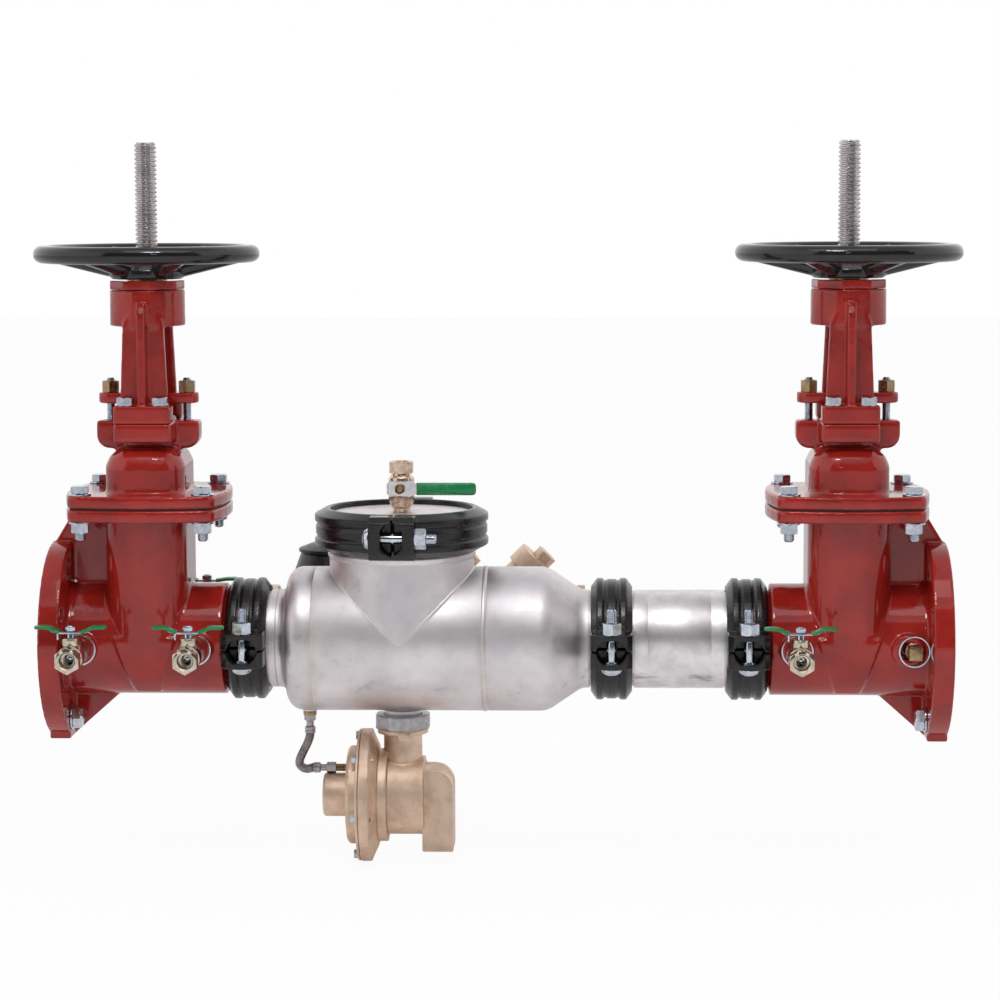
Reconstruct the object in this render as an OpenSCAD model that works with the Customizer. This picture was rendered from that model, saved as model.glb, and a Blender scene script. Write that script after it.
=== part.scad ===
// Reduced pressure detector assembly for a 4 inch fire main.
// Frame: origin at the centre of the inlet flange face, +X with the flow, +Z up.
// The stems rise along Z and the test cocks face -Y.

/* [Line] */
// Outside diameter of the main pipe
pipe_od = 114.3; // [110:0.1:118]
// Wall of the main pipe and the spool
pipe_wall = 5; // [4:0.1:6]
// Gap between two grooved pipe ends
joint_gap = 3.2; // [2:0.1:4]
// Length of the stainless check body
body_len = 419; // [410:1:450]
// Length of the pipe spool
spool_len = 153; // [125:1:200]

/* [Gate valve] */
// Flange face to grooved end
valve_len = 229; // [225:1:240]
// Flange face to stem axis
stem_at = 115; // [113:1:118]
// Outside diameter of the pipe flange
flange_od = 228.6; // [226:0.1:236]
// Thickness of the pipe flange
flange_t = 24; // [21:1:25]
// Bolt circle of the pipe flange
bolt_circle = 190.5; // [188:0.1:192]
// Bolt hole in the pipe flange
bolt_hole = 19; // [17:0.1:20]
// Depth of the flat foot under the flange centre
foot_drop = 112.5; // [111:0.1:113.5]
// Outside diameter of the cast neck
neck_od = 130; // [127:1:132]
// Full round bore through the valve
bore_d = 102; // [98:0.1:103]
// Height of the joint between body and bonnet
seam_z = 160; // [158:1:164]
// Width of the body and bonnet flanges
lid_w = 188; // [186:1:194]
// Thickness of the body and bonnet flanges
lid_t = 14.5; // [13:0.1:15.5]
// Travel of the gate from open to closed
gate_travel = 108; // [106:1:109]

/* [Stem and wheel] */
// Stem diameter over the thread
stem_d = 25.4; // [24:0.1:26]
// Top of the stem with the gate open
stem_top = 577; // [560:1:590]
// Outside diameter of the handwheel
wheel_d = 261; // [240:1:280]
// Height of the handwheel rim
wheel_z = 449; // [446:1:452]
// Number of handwheel spokes
spokes = 6; // [4:1:6]
// Radial play of a turning or sliding fit
running_fit = 0.05; // [0.03:0.01:0.08]

/* [Grooved couplings] */
// Width of a pipe coupling
coupling_w = 48; // [47:0.5:50]
// Outside radius of a pipe coupling over its ribs
coupling_r = 71; // [70:0.1:73]
// Turn of the pipe couplings about the pipe
coupling_turn = 1; // [0:1:8]
// Width of the cover coupling
cover_coupling_w = 49.5; // [49:0.1:51]
// Outside radius of the cover coupling
cover_coupling_r = 101; // [100:0.1:103]

/* [Check body] */
// Outside diameter of the check body and its branch
body_od = 168.3; // [166:0.1:170]
// Wall of the check body
body_wall = 4; // [3:0.1:5]
// Inlet end of the body to the branch axis
tee_at = 176.3; // [172:0.1:180]
// Height of the joint between branch and cover
cover_z = 130; // [129:0.5:133]
// Travel of a check disc
check_travel = 24; // [15:1:26]

/* [Relief valve] */
// Depth of the relief valve axis below the pipe axis
relief_z = 186; // [184:1:190]
// Outside radius of the diaphragm flange
relief_flange_r = 77.8; // [76:0.1:80]
// Radius of the relief valve barrel
relief_barrel_r = 46; // [44:0.1:48]
// Travel of the relief valve plunger
relief_travel = 6; // [3:0.5:7]

/* [Test cocks] */
// Distance from the pipe axis to the face of a test cock
cock_face = 160; // [158:1:168]
// Flat to flat of the hexagon on a test cock
cock_hex = 27; // [25:0.1:28]
// Length of half a tee handle
handle_half = 41; // [36:1:43]
// Length of the lever on the cover cock
lever_len = 88; // [70:1:95]

/* [Bypass] */
// Distance of the bypass line behind the pipe axis
bypass_y = 165; // [160:1:175]
// Height of the bypass line above the pipe axis
bypass_z = 20; // [18:1:24]
// Place of the meter along the line
meter_x = 315; // [310:1:325]
// Diameter of the meter register
meter_d = 88; // [82:1:92]
// Place of the first bypass check along the line
bypass_check_x = 415; // [413:1:420]
// Distance between the two bypass checks
bypass_check_pitch = 91; // [86:1:96]

/* [Hidden] */
$fn = 48;

red = [0.55, 0.12, 0.1];
black = [0.09, 0.09, 0.1];
stainless = [0.72, 0.69, 0.66];
bronze = [0.68, 0.54, 0.38];
brass = [0.62, 0.5, 0.28];
zinc = [0.7, 0.73, 0.77];
nickel = [0.74, 0.71, 0.66];
green = [0.1, 0.5, 0.25];
rubber = [0.13, 0.13, 0.14];

seat = 0.3;
pipe_r = pipe_od / 2;
bore_r = bore_d / 2;
neck_r = neck_od / 2;
flange_r = flange_od / 2;
valve_out = valve_len - stem_at;
body_x0 = valve_len + joint_gap;
body_x1 = body_x0 + body_len;
spool_x0 = body_x1 + joint_gap;
spool_x1 = spool_x0 + spool_len;
total_len = spool_x1 + joint_gap + valve_len;
outlet_stem_x = total_len - stem_at;
tee_x = body_x0 + tee_at;
joint_x = [for (end = [valve_len, body_x1, spool_x1]) end + joint_gap / 2];

// Grooves of a grooved pipe end, measured from the end
groove_at = 15.9;
groove_w = 8.7;
groove_depth = 2.1;
pipe_end = 25;

// Key of a coupling, measured from the middle of the joint
key_from = joint_gap / 2 + groove_at + seat;
key_t = 6;

// Gate valve body
column_w = 94;
column_d = 137;
column_round = 35;
lid_bow = 300;
lid_corner = 14;
lid_edge = 23.5;
lid_bolt = lid_w / 2 - lid_edge;
gasket_t = 1.5;
body_lid_top = seam_z - gasket_t / 2;
bonnet_z0 = seam_z + gasket_t / 2;
bonnet_z1 = bonnet_z0 + lid_t;
pocket_w = 41;
pocket_d = 110;
gate_r = 53;
gate_t = 40;
cock_z = -3;
outer_cock_at = 73;
plug_at = 66;
inner_cock_at = 60;
bypass_port_at = 49;
boss_r = 18.5;
boss_face = 75;
nipple_r = 10.5;
bypass_boss_r = 21;
bypass_pipe_r = 13.35;
bypass_boss_face = 80;
boss_hole_depth = 16;

// Bonnet, gland and yoke
dome_top = 226;
box_r = 30;
box_bore = 20;
box_top = 262;
ear_half = 59.7;
ear_z0 = 224;
ear_z1 = 256.5;
ear_t = 30;
stud_at = 44.5;
pad_half = 33;
pad_z0 = 234.5;
pad_z1 = 256;
pad_front = 62;
yoke_bolt_x = 20.3;
yoke_bolt_y = 51;
foot_z1 = 276;
follower_z0 = 276;
follower_t = 12.5;
hub_r = 43.4;
hub_z0 = 366;
hub_z1 = 407.6;
nut_r = 19;
nut_collar_r = 31;
nut_collar_t = 8;
cap_t = 10.3;
cap_spigot = 6;
cap_z = hub_z1 + seat;
wheel_seat_z = 420;
wheel_hub_top = 440;
rim_r = 10;
rim_flat = 4;
stem_foot_z = 60 + gate_travel;

// Check body
body_r = body_od / 2;
branch_end = cover_z - joint_gap / 2;
cover_z0 = cover_z + joint_gap / 2;
cover_step_z = cover_z + key_from - seat;
cover_top = cover_step_z + 1.3;
cone_from = body_x1 - 82.2;
cone_angle = 34;
cone_knuckle = 30;
cone_fillet = 20;
swell_from = body_x0 + 43.5;
swell_r = 18.3;
swell_fillet = 8.7;
sensing_x = body_x0 + 67;
seat_x = [body_x0 + 78, body_x0 + 262];
seat_t = 12;
check_bore = 48;
disc_r = 54;
disc_t = 9;
guide_r = 6;
guide_tail = 28;
spring_len = check_travel + 21.6;

// Bolt pads of the couplings
pad_rim = 10;
pipe_pad_w = 39.4;
pipe_window = [27, 37];
pipe_bolt_y = 89;
cover_pad_w = 52;
cover_window = [25, 40];
cover_bolt_y = 110;
pad_bevel = [7, 8];
bolt_end = 49;
track_nut_h = 13.5;
cover_turn = -2;

// Relief valve
relief_x = tee_x;
union_z0 = -105.5;
union_z1 = -89;
union_lap = 2.1;
relief_seat_x = 424;
relief_neck_r = 22.5;
relief_collar_r = 29.7;
relief_collar_z = union_z0 - 6;
relief_bore_r = 15;
relief_port_r = 22;
screw_r = 3;
diaphragm_x = 357;
cover_rim_t = 3;
diaphragm_x0 = diaphragm_x + cover_rim_t;
diaphragm_x1 = diaphragm_x0 + 1.5;
diaphragm_lip = 2;
flange_back = diaphragm_x1 + 10.5;
relief_step_r = 54.5;
relief_step_len = 19;
chamber_r = 44;
chamber_back = flange_back + 3;
plunger_r = 6;
cover_x0 = 344;
cover_dome_r = 57.5;
cover_bevel = 3;
cover_hollow_r = 46;
cover_hollow_x = diaphragm_x - relief_travel - 2;
spring_box_r = 25.6;
spring_box_x = cover_x0 - 29;
spring_box_wall = 6.6;
relief_spring_x = spring_box_x + 7.2;
screw_count = 6;
screw_turn = 42.3;
outlet_x0 = 432;
outlet_x1 = 468;
outlet_half = 27.5;
outlet_z0 = -248.5;
outlet_z1 = -152;
outlet_wall = 4;

// Sensing hose and its fittings
hose_r = 5.2;
ferrule_r = 6.3;
hose_top_z = -106;
hose_end_x = 309.5;
hose_end_z = -153.9;
nipple_tip_r = 2.8;

// Test cocks
cock_handle_rise = 25;
cock_handle_y = cock_face - 30;
cock_stem_r = 4.5;
cock_ball_r = 9.6;
cover_cock_top = 208;
cover_cock_ball_z = cover_cock_top - 30;
cover_cock_face = 24;

// Bypass
bypass_valve_y = 116;
bypass_valve_half = 24;
bypass_ball_r = 14;
bypass_stem_rise = 31;
bypass_in_x = stem_at + bypass_port_at;
bypass_out_x = outlet_stem_x - bypass_port_at;
meter_r = meter_d / 2;
meter_half = 84;
meter_top = 82;
meter_body_r = 38;
register_z = 40;
register_flare = 11;
lid_hinge_x = meter_r + 4;
lid_hinge_z = meter_top + 3;
lid_pin_r = 2.2;
lid_eye_r = 3.4;
lid_lug_half = 9;
backflow_tail = 114.6;
backflow_x0 = meter_x + meter_half + seat;
backflow_x1 = bypass_check_x + bypass_check_pitch + backflow_tail;

// Places where the pieces of a gate valve stand
module at_inlet() { translate([stem_at, 0, 0]) children(); }
module at_outlet() { translate([outlet_stem_x, 0, 0]) mirror([1, 0, 0]) children(); }
module at_both() { at_inlet() children(); at_outlet() children(); }

// Turns a shape drawn along Z so that it lies along X, or along -Y or +Y
module along_x() { rotate([0, 90, 0]) children(); }
module along_front() { rotate([90, 0, 0]) children(); }
module along_back() { rotate([-90, 0, 0]) children(); }

// Rectangle with true round corners
module round_rect(w, d, r) {
    square([w - 2 * r, d], center = true);
    square([w, d - 2 * r], center = true);
    for (sx = [-1, 1], sy = [-1, 1]) translate([sx * (w / 2 - r), sy * (d / 2 - r)]) circle(r);
}

// Square with bowed sides and round corners, as points
function bowed_square(w) =
    let (
        inset = lid_bow - w / 2,
        reach = lid_bow - lid_corner,
        at = (sqrt(2 * reach * reach - inset * inset) - inset) / 2,
        lean = atan(at / (at + inset)),
        quarter = concat(
            [for (k = [-3 : 3]) [lid_bow * cos(lean * k / 3) - inset, lid_bow * sin(lean * k / 3)]],
            [for (k = [1 : 4])
                let (a = lean + (90 - 2 * lean) * k / 5) [at + lid_corner * cos(a), at + lid_corner * sin(a)]]
        )
    )
    [for (turn = [0 : 90 : 270], p = quarter)
        [p[0] * cos(turn) - p[1] * sin(turn), p[0] * sin(turn) + p[1] * cos(turn)]];
module lid_block(w, z0, z1) { translate([0, 0, z0]) linear_extrude(z1 - z0) polygon(bowed_square(w)); }

// Block with round upright edges
module round_block(w, d, r, z0, z1) {
    translate([0, 0, z0]) linear_extrude(z1 - z0) round_rect(w, d, r);
}

// Ring about Z from its inner and outer radius
module ring(r0, r1, z0, z1) {
    translate([0, 0, z0]) difference() {
        cylinder(r = r1, h = z1 - z0);
        translate([0, 0, -1]) cylinder(r = r0, h = z1 - z0 + 2);
    }
}

// Hexagon bar given across its flats
module hex_bar(flats, h) { cylinder(r = flats / sqrt(3), h = h, $fn = 6); }

// Groove cut for a coupling key, about X, starting at x0
module pipe_groove(x0, r) {
    translate([x0, 0, 0]) along_x() ring(r - groove_depth, r + 2, 0, groove_w);
}

// Wire of a coil spring about Z, closed at both ends
function coil_point(r, turns, len, t) = [r * cos(360 * turns * t), r * sin(360 * turns * t), len * t];
function ring_around(p, dir, r, sides) =
    let (
        side = cross(dir, [0, 0, 1]) / norm(cross(dir, [0, 0, 1])),
        up = cross(side, dir)
    )
    [for (k = [0 : sides - 1]) p + r * (cos(360 * k / sides) * side + sin(360 * k / sides) * up)];
function tube_faces(rings, sides) = concat(
    [[for (k = [0 : sides - 1]) k]],
    [for (i = [0 : rings - 2], k = [0 : sides - 1])
        [i * sides + k, (i + 1) * sides + k, (i + 1) * sides + (k + 1) % sides, i * sides + (k + 1) % sides]],
    [[for (k = [sides - 1 : -1 : 0]) (rings - 1) * sides + k]]
);
module coil(r, wire, turns, len) {
    steps = turns * 12;
    sides = 6;
    path = [for (i = [0 : steps]) coil_point(r, turns, len - 2 * wire, i / steps) + [0, 0, wire]];
    tangent = [for (i = [0 : steps])
        let (d = path[min(i + 1, steps)] - path[max(i - 1, 0)]) d / norm(d)];
    rings = [for (i = [0 : steps]) ring_around(path[i], tangent[i], wire, sides)];
    polyhedron([for (one = rings, p = one) p], tube_faces(steps + 1, sides));
}

// Gate valve body: pipe flange with its foot, neck, column with the gate pocket and test bosses
module valve_body(outer_boss_at) {
    difference() {
        union() {
            translate([-stem_at, 0, 0]) along_x() cylinder(r = flange_r, h = flange_t, $fn = 96);
            translate([-stem_at, -45, -foot_drop]) cube([flange_t, 90, 40]);
            translate([2 - stem_at, 0, 0]) along_x() cylinder(r = neck_r, h = valve_len - pipe_end - 2);
            along_x() cylinder(r = pipe_r, h = valve_out);
            gate_chamber();
            round_block(column_w, column_d, column_round, 0, seam_z - 5);
            lid_block(lid_w, body_lid_top - lid_t, body_lid_top);
            valve_webs();
            for (boss = [-outer_boss_at, inner_cock_at])
                translate([boss, -40, cock_z]) along_front() cylinder(r = boss_r, h = boss_face - 40);
            translate([bypass_port_at, 40, bypass_z]) along_back()
                cylinder(r = bypass_boss_r, h = bypass_boss_face - 40);
        }
        translate([-stem_at - 1, 0, 0]) along_x() cylinder(r = bore_r, h = valve_len + 2);
        translate([-pocket_w / 2, 0, 0]) along_x() cylinder(r = pocket_d / 2 + 2, h = pocket_w);
        translate([-pocket_w / 2, -pocket_d / 2, 0]) cube([pocket_w, pocket_d, seam_z + 1]);
        translate([-stem_at - 1, -60, -foot_drop - 20]) cube([flange_t + 2, 120, 20]);
        flange_holes();
        lid_holes();
        pipe_groove(valve_out - groove_at - groove_w, pipe_r);
        for (boss = [-outer_boss_at, inner_cock_at]) translate([boss, 0, cock_z]) along_front() {
            cylinder(r = 6, h = boss_face);
            translate([0, 0, boss_face - boss_hole_depth]) cylinder(r = nipple_r, h = boss_hole_depth + 1);
        }
        translate([bypass_port_at, 0, bypass_z]) along_back() {
            cylinder(r = 10, h = bypass_boss_face);
            translate([0, 0, bypass_boss_face - boss_hole_depth])
                cylinder(r = bypass_pipe_r, h = boss_hole_depth + 1);
        }
    }
}

// Lower end of the gate chamber, which narrows toward the bottom of the neck
module gate_chamber() {
    top = column_w / 2 - 11;
    low = 14;
    half = column_d / 2;
    intersection() {
        translate([0, half, 0]) along_front() linear_extrude(2 * half)
            polygon([[-top, 10], [top, 10], [low, 10 - half], [-low, 10 - half]]);
        translate([-top, 0, 0]) along_x() cylinder(r = half, h = 2 * top);
    }
}

// Webs from the body flange to the pipe flange, and from the neck to the foot
module valve_webs() {
    face = -stem_at;
    web_top = body_lid_top - lid_t + 1;
    along_front() {
        translate([0, 0, -9]) linear_extrude(18)
            polygon([[face + 3, 97], [face + 3, 113], [-92, web_top], [-45, web_top], [-45, 60], [-80, 60]]);
        translate([0, 0, -8]) linear_extrude(16)
            polygon([[-38, -60], [-38, -64.5], [-90, -110.5], [face + 18, -110.5], [face + 18, -60]]);
    }
}

module flange_holes() {
    for (k = [0 : 7]) rotate([22.5 + 45 * k, 0, 0])
        translate([-stem_at - 1, 0, bolt_circle / 2]) along_x() cylinder(d = bolt_hole, h = flange_t + 2);
}

module lid_holes() {
    for (sx = [-1, 1], sy = [-1, 1]) translate([sx * lid_bolt, sy * lid_bolt, seam_z - 30])
        cylinder(r = 7.2, h = 60);
}

// Bonnet: flange, domed gate housing, stuffing box with stud ears and yoke pads
module bonnet() {
    difference() {
        union() {
            lid_block(lid_w, bonnet_z0, bonnet_z1);
            bonnet_dome();
            translate([0, 0, dome_top - 8]) cylinder(r = box_r, h = box_top - dome_top + 8);
            bonnet_ears();
            for (side = [0, 180]) rotate(side) translate([0, -pad_front / 2 - 6, 0])
                round_block(2 * pad_half, pad_front - 12, 5, pad_z0, pad_z1);
        }
        translate([-pocket_w / 2, -pocket_d / 2, bonnet_z0 - 1]) cube([pocket_w, pocket_d, 45]);
        translate([0, 0, bonnet_z0]) cylinder(r = stem_d / 2 + running_fit, h = 120);
        translate([0, 0, dome_top - 2]) cylinder(r = box_bore, h = 60);
        lid_holes();
        for (sx = [-1, 1]) translate([sx * stud_at, 0, ear_z0 - 1]) cylinder(r = 5.2, h = 60);
        yoke_bolt_places() translate([0, 0, pad_z0 - 1]) cylinder(r = 5.2, h = 30);
    }
}

// Oval dome as one rounded solid through four levels
module bonnet_dome() {
    levels = [[bonnet_z1 - 4, 0], [206, 0], [217, 5], [223.5, 13], [dome_top, 22]];
    hull() for (level = levels)
        translate([0, 0, level[0]]) linear_extrude(0.5)
            round_rect(column_w - 2 - 2 * level[1], column_d - 1 - 2 * level[1],
                column_round - level[1] * 0.8, $fn = 32);
}

// Ears with round lower corners that carry the gland studs
module bonnet_ears() {
    corner = 15;
    translate([0, ear_t / 2, 0]) along_front() linear_extrude(ear_t) {
        for (sx = [-1, 1]) translate([sx * (ear_half - corner), ear_z0 + corner]) circle(corner);
        translate([-ear_half, ear_z0 + corner]) square([2 * ear_half, ear_z1 - ear_z0 - corner]);
        translate([-ear_half + corner, ear_z0]) square([2 * (ear_half - corner), corner + 1]);
    }
}

module yoke_bolt_places() {
    for (sx = [-1, 1], sy = [-1, 1]) translate([sx * yoke_bolt_x, sy * yoke_bolt_y, 0]) children();
}

// Gate: rubber covered disc with tapered faces, guide lugs and a tee slot head
module gate() {
    lift = gate_travel;
    translate([0, 0, lift]) {
        difference() {
            translate([-gate_t / 2, 0, 0]) along_x() {
                cylinder(r1 = gate_r - 2.5, r2 = gate_r, h = 8);
                translate([0, 0, 8]) cylinder(r = gate_r, h = gate_t - 16);
                translate([0, 0, gate_t - 8]) cylinder(r1 = gate_r, r2 = gate_r - 2.5, h = 8);
            }
            for (side = [-1, 1]) translate([side * gate_t / 2 - 3, 0, 0]) along_x() cylinder(r = 36, h = 6);
        }
        translate([-13, -22, gate_r - 8]) cube([26, 44, 15]);
    }
}

// Stem: plain shank here, its square thread is a surface detail
module stem() {
    translate([0, 0, stem_foot_z]) {
        cylinder(r = 17, h = 7);
        cylinder(d = stem_d, h = stem_top - 3 - stem_foot_z);
    }
    translate([0, 0, stem_top - 3]) cylinder(r1 = stem_d / 2, r2 = stem_d / 2 - 3, h = 3);
}

// Gland follower with its nose in the stuffing box
module gland() {
    difference() {
        union() {
            translate([0, 0, follower_z0]) linear_extrude(follower_t) {
                square([2 * (ear_half - 15), 30], center = true);
                for (sx = [-1, 1]) translate([sx * (ear_half - 16.5), 0]) circle(15);
                circle(27);
            }
            translate([0, 0, box_top - 17]) cylinder(r = box_bore - seat, h = follower_z0 - box_top + 18);
        }
        translate([0, 0, box_top - 20]) cylinder(r = stem_d / 2 + running_fit, h = 60);
        for (sx = [-1, 1]) translate([sx * stud_at, 0, follower_z0 - 1]) cylinder(r = 6, h = 20);
    }
}

// Yoke: hub on two tee section legs, each with a bolted foot
module yoke() {
    difference() {
        union() {
            translate([0, 0, hub_z0]) cylinder(r = hub_r, h = hub_z1 - hub_z0);
            for (side = [0, 180]) rotate(side) yoke_leg();
        }
        translate([0, 0, hub_z0 - 1]) cylinder(r = nut_r + running_fit, h = 60);
        translate([0, 0, hub_z1 - cap_spigot - nut_collar_t - seat])
            cylinder(r = nut_collar_r + seat, h = 40);
        yoke_bolt_places() translate([0, 0, pad_z1 - 1]) cylinder(r = 5.6, h = 30);
    }
}

module yoke_leg() {
    plate_back = 31;
    plate_front = 40;
    rib_half = 4.8;
    translate([0, -(pad_front + 31) / 2, 0]) round_block(2 * pad_half, pad_front - 31, 5, pad_z1, foot_z1);
    translate([0, -plate_back, 0]) along_front() linear_extrude(plate_front - plate_back)
        polygon([[-28, foot_z1 - 8], [28, foot_z1 - 8], [23.5, hub_z0 + 4], [15, hub_z0 + 18],
            [-15, hub_z0 + 18], [-23.5, hub_z0 + 4]]);
    rotate([90, 0, 90]) translate([0, 0, -rib_half]) linear_extrude(2 * rib_half)
        polygon([[-34, foot_z1 - 6], [-60, foot_z1 - 6], [-60, hub_z1 - 28], [-54, hub_z1 - 18],
            [-42, hub_z1 - 13], [-34, hub_z1 - 13]]);
}

// Yoke nut: threaded bronze sleeve with a thrust collar, and the nut that holds the wheel
module stem_nut() {
    collar_z = hub_z1 - cap_spigot - nut_collar_t;
    difference() {
        union() {
            translate([0, 0, hub_z0 + 2]) cylinder(r = nut_r, h = wheel_hub_top + 11 - hub_z0 - 2);
            translate([0, 0, collar_z]) cylinder(r = nut_collar_r, h = nut_collar_t - seat);
            translate([0, 0, wheel_seat_z - 1.5]) cylinder(r = nut_r + 4, h = 1.5);
            translate([0, 0, wheel_hub_top]) hex_bar(50, 9);
        }
        translate([0, 0, hub_z0]) cylinder(r = stem_d / 2 + running_fit, h = 120);
    }
}

// Eight sided cap that holds the yoke nut in the hub
module yoke_cap() {
    difference() {
        union() {
            translate([0, 0, cap_z]) rotate(13.5) cylinder(r = hub_r, h = cap_t, $fn = 8);
            translate([0, 0, cap_z - cap_spigot]) cylinder(r = nut_collar_r, h = cap_spigot + 1);
        }
        translate([0, 0, cap_z - 10]) cylinder(r = nut_r + seat, h = 30);
    }
}

// Handwheel: hub, sloping round spokes and a rounded rim
module handwheel() {
    rim_mid = wheel_d / 2 - rim_r - rim_flat / 2;
    spoke_from = 34;
    spoke_low = wheel_seat_z + 11;
    rise = wheel_z - spoke_low;
    run = rim_mid - spoke_from;
    difference() {
        union() {
            translate([0, 0, wheel_z]) rotate_extrude($fn = 72) translate([rim_mid, 0]) {
                for (s = [-1, 1]) translate([s * rim_flat / 2, 0]) circle(rim_r, $fn = 24);
                square([rim_flat, 2 * rim_r], center = true);
            }
            for (k = [0 : spokes - 1]) rotate(k * 360 / spokes) translate([spoke_from, 0, spoke_low])
                rotate([0, 90 - atan(rise / run), 0])
                cylinder(r1 = 10.8, r2 = 8, h = norm([rise, run]), $fn = 24);
            rotate_extrude() polygon([[10, wheel_seat_z], [hub_r - 3, wheel_seat_z],
                [hub_r, wheel_seat_z + 3], [hub_r, wheel_hub_top - 10], [hub_r - 8, wheel_hub_top],
                [10, wheel_hub_top]]);
        }
        translate([0, 0, wheel_seat_z - 1]) cylinder(r = nut_r + running_fit, h = 60);
    }
}

// Hexagon head bolt through the bonnet joint, with washers and a nut
module bonnet_bolt() {
    shank_r = 6.4;
    head_z = bonnet_z1 + 2;
    low_z = body_lid_top - lid_t;
    translate([0, 0, bonnet_z1]) cylinder(r = 13, h = 2);
    translate([0, 0, head_z]) hex_bar(19, 8.5);
    translate([0, 0, 122.5]) cylinder(r = shank_r, h = head_z - 122);
    translate([0, 0, low_z - 2]) ring(shank_r - 0.5, 13, 0, 2);
    translate([0, 0, low_z - 13]) hex_bar(19, 11);
}

module yoke_bolt() {
    translate([0, 0, foot_z1]) hex_bar(17.3, 10);
    translate([0, 0, pad_z0 + 2]) cylinder(r = 5, h = foot_z1 - pad_z0 - 1);
}

// Gland stud: rod in the ear, brass nut on the follower
module gland_stud() {
    nut_z = follower_z0 + follower_t;
    translate([0, 0, ear_z0 + 6]) cylinder(r = 5, h = nut_z + 17 - ear_z0 - 6);
    translate([0, 0, nut_z]) hex_bar(18, 13.5);
}

// Window of a bolt pad, pointed at both ends
module pad_window(a, b) {
    polygon([[a, -0.5 * b], [a, 0.5 * b], [0.6 * a, 0.8 * b], [0, b], [-0.6 * a, 0.8 * b],
        [-a, 0.5 * b], [-a, -0.5 * b], [-0.6 * a, -0.8 * b], [0, -b], [0.6 * a, -0.8 * b]]);
}

// Ribbed grooved coupling about Z: axis Z, bolt pads toward +Y and -Y, halves toward +X and -X
module coupling_shell(r_pipe, r_out, w, pad_w, window, bolt_y) {
    half = w / 2;
    key_in = r_pipe - groove_depth + 0.5;
    room = r_pipe + 5;
    slope = 6.5;
    notch = 2.6;
    pad_y = bolt_y + pad_rim;
    ribs = [[r_pipe + 4, half], [r_out - 1, half - slope], [r_out, half - slope - 1.2], [r_out, 10.5],
        [r_out - notch, 8.5], [r_out - notch, 6.3], [r_out - 1.2, 4.4]];
    difference() {
        union() {
            rotate_extrude($fn = 72) polygon(concat(
                [[key_in, half]], ribs, [for (k = [len(ribs) - 1 : -1 : 0]) [ribs[k][0], -ribs[k][1]]],
                [[key_in, -half]]));
            translate([-pad_w / 2, 0, 0]) rotate([90, 0, 90]) linear_extrude(pad_w) for (s = [-1, 1])
                polygon([[s * (r_out - 8), -half], [s * (pad_y - pad_bevel[1]), -half],
                    [s * pad_y, pad_bevel[0] - half], [s * pad_y, half - pad_bevel[0]],
                    [s * (pad_y - pad_bevel[1]), half], [s * (r_out - 8), half]]);
        }
        translate([0, 0, -key_from]) cylinder(r = room, h = 2 * key_from);
        for (s = [-1, 1]) translate([0, 0, s > 0 ? key_from + key_t : -half - 1])
            cylinder(r = key_in + 1.5, h = half + 1 - key_from - key_t);
        translate([0, 0, -half - 1]) cylinder(r = key_in, h = w + 2);
        for (s = [-1, 1]) {
            translate([0, s * (r_out + 0.5), 0]) rotate([-90 * s, 0, 0]) linear_extrude(40)
                pad_window(window[0] / 2, window[1] / 2);
            translate([-60, s * bolt_y, 0]) along_x() cylinder(r = 6.5, h = 120);
        }
    }
}

module coupling_half(side, r_pipe, r_out, w, pad_w, window, bolt_y) {
    split = 1;
    reach = 2 * r_out;
    intersection() {
        coupling_shell(r_pipe, r_out, w, pad_w, window, bolt_y);
        translate([side > 0 ? split : -split - reach, -reach, -w]) cube([reach, 2 * reach, 2 * w]);
    }
}

// The three joints of the main pipe
module at_joints() {
    for (x = joint_x) translate([x, 0, 0]) rotate([coupling_turn, 0, 0]) along_x() children();
}

module coupling_gasket(r_pipe) {
    difference() {
        ring(r_pipe + seat, r_pipe + 4.7, seat - key_from, key_from - seat);
        for (s = [-1, 1]) translate([0, 0, s * 8]) ring(r_pipe - 1, r_pipe + 2.6, -4, 4);
    }
}

// Track bolt along X: round head, shank and nut, for pads that end at x_head and x_nut
module track_bolt(x_head, x_nut, end) {
    along_x() {
        translate([0, 0, x_head - 7]) cylinder(r1 = 7, r2 = 12, h = 7);
        translate([0, 0, x_head - 1]) cylinder(r = 5.8, h = end - x_head + 1);
        translate([0, 0, x_nut]) hex_bar(20.6, track_nut_h);
    }
}

// Check body: formed pipe along X with a grooved branch and welded bosses
module check_body() {
    difference() {
        union() {
            translate([tee_x, 0, 0]) cylinder(r = body_r, h = branch_end);
            translate([tee_x, 0, 101]) rotate_extrude() translate([body_r - 0.6, 0]) circle(1.8, $fn = 16);
            along_x() rotate_extrude() body_outline(pipe_r, body_r, 0);
            translate([tee_x, 0, union_z1 - 14]) cylinder(r = 21.7, h = 40);
            translate([sensing_x, 0, -86]) cylinder(r = 8.5, h = 20);
        }
        along_x() rotate_extrude() body_outline(pipe_r - body_wall, body_r - body_wall, 1);
        translate([tee_x, 0, 0]) cylinder(r = body_r - body_wall, h = branch_end + 1);
        translate([tee_x, 0, union_z1 - 20]) cylinder(r = 17.5, h = 60);
        translate([sensing_x, 0, -95]) cylinder(r = 4, h = 40);
        pipe_groove(body_x0 + groove_at, pipe_r);
        pipe_groove(body_x1 - groove_at - groove_w, pipe_r);
        translate([tee_x, 0, branch_end - groove_at - groove_w])
            ring(body_r - groove_depth, body_r + 4, 0, groove_w);
    }
}

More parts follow.
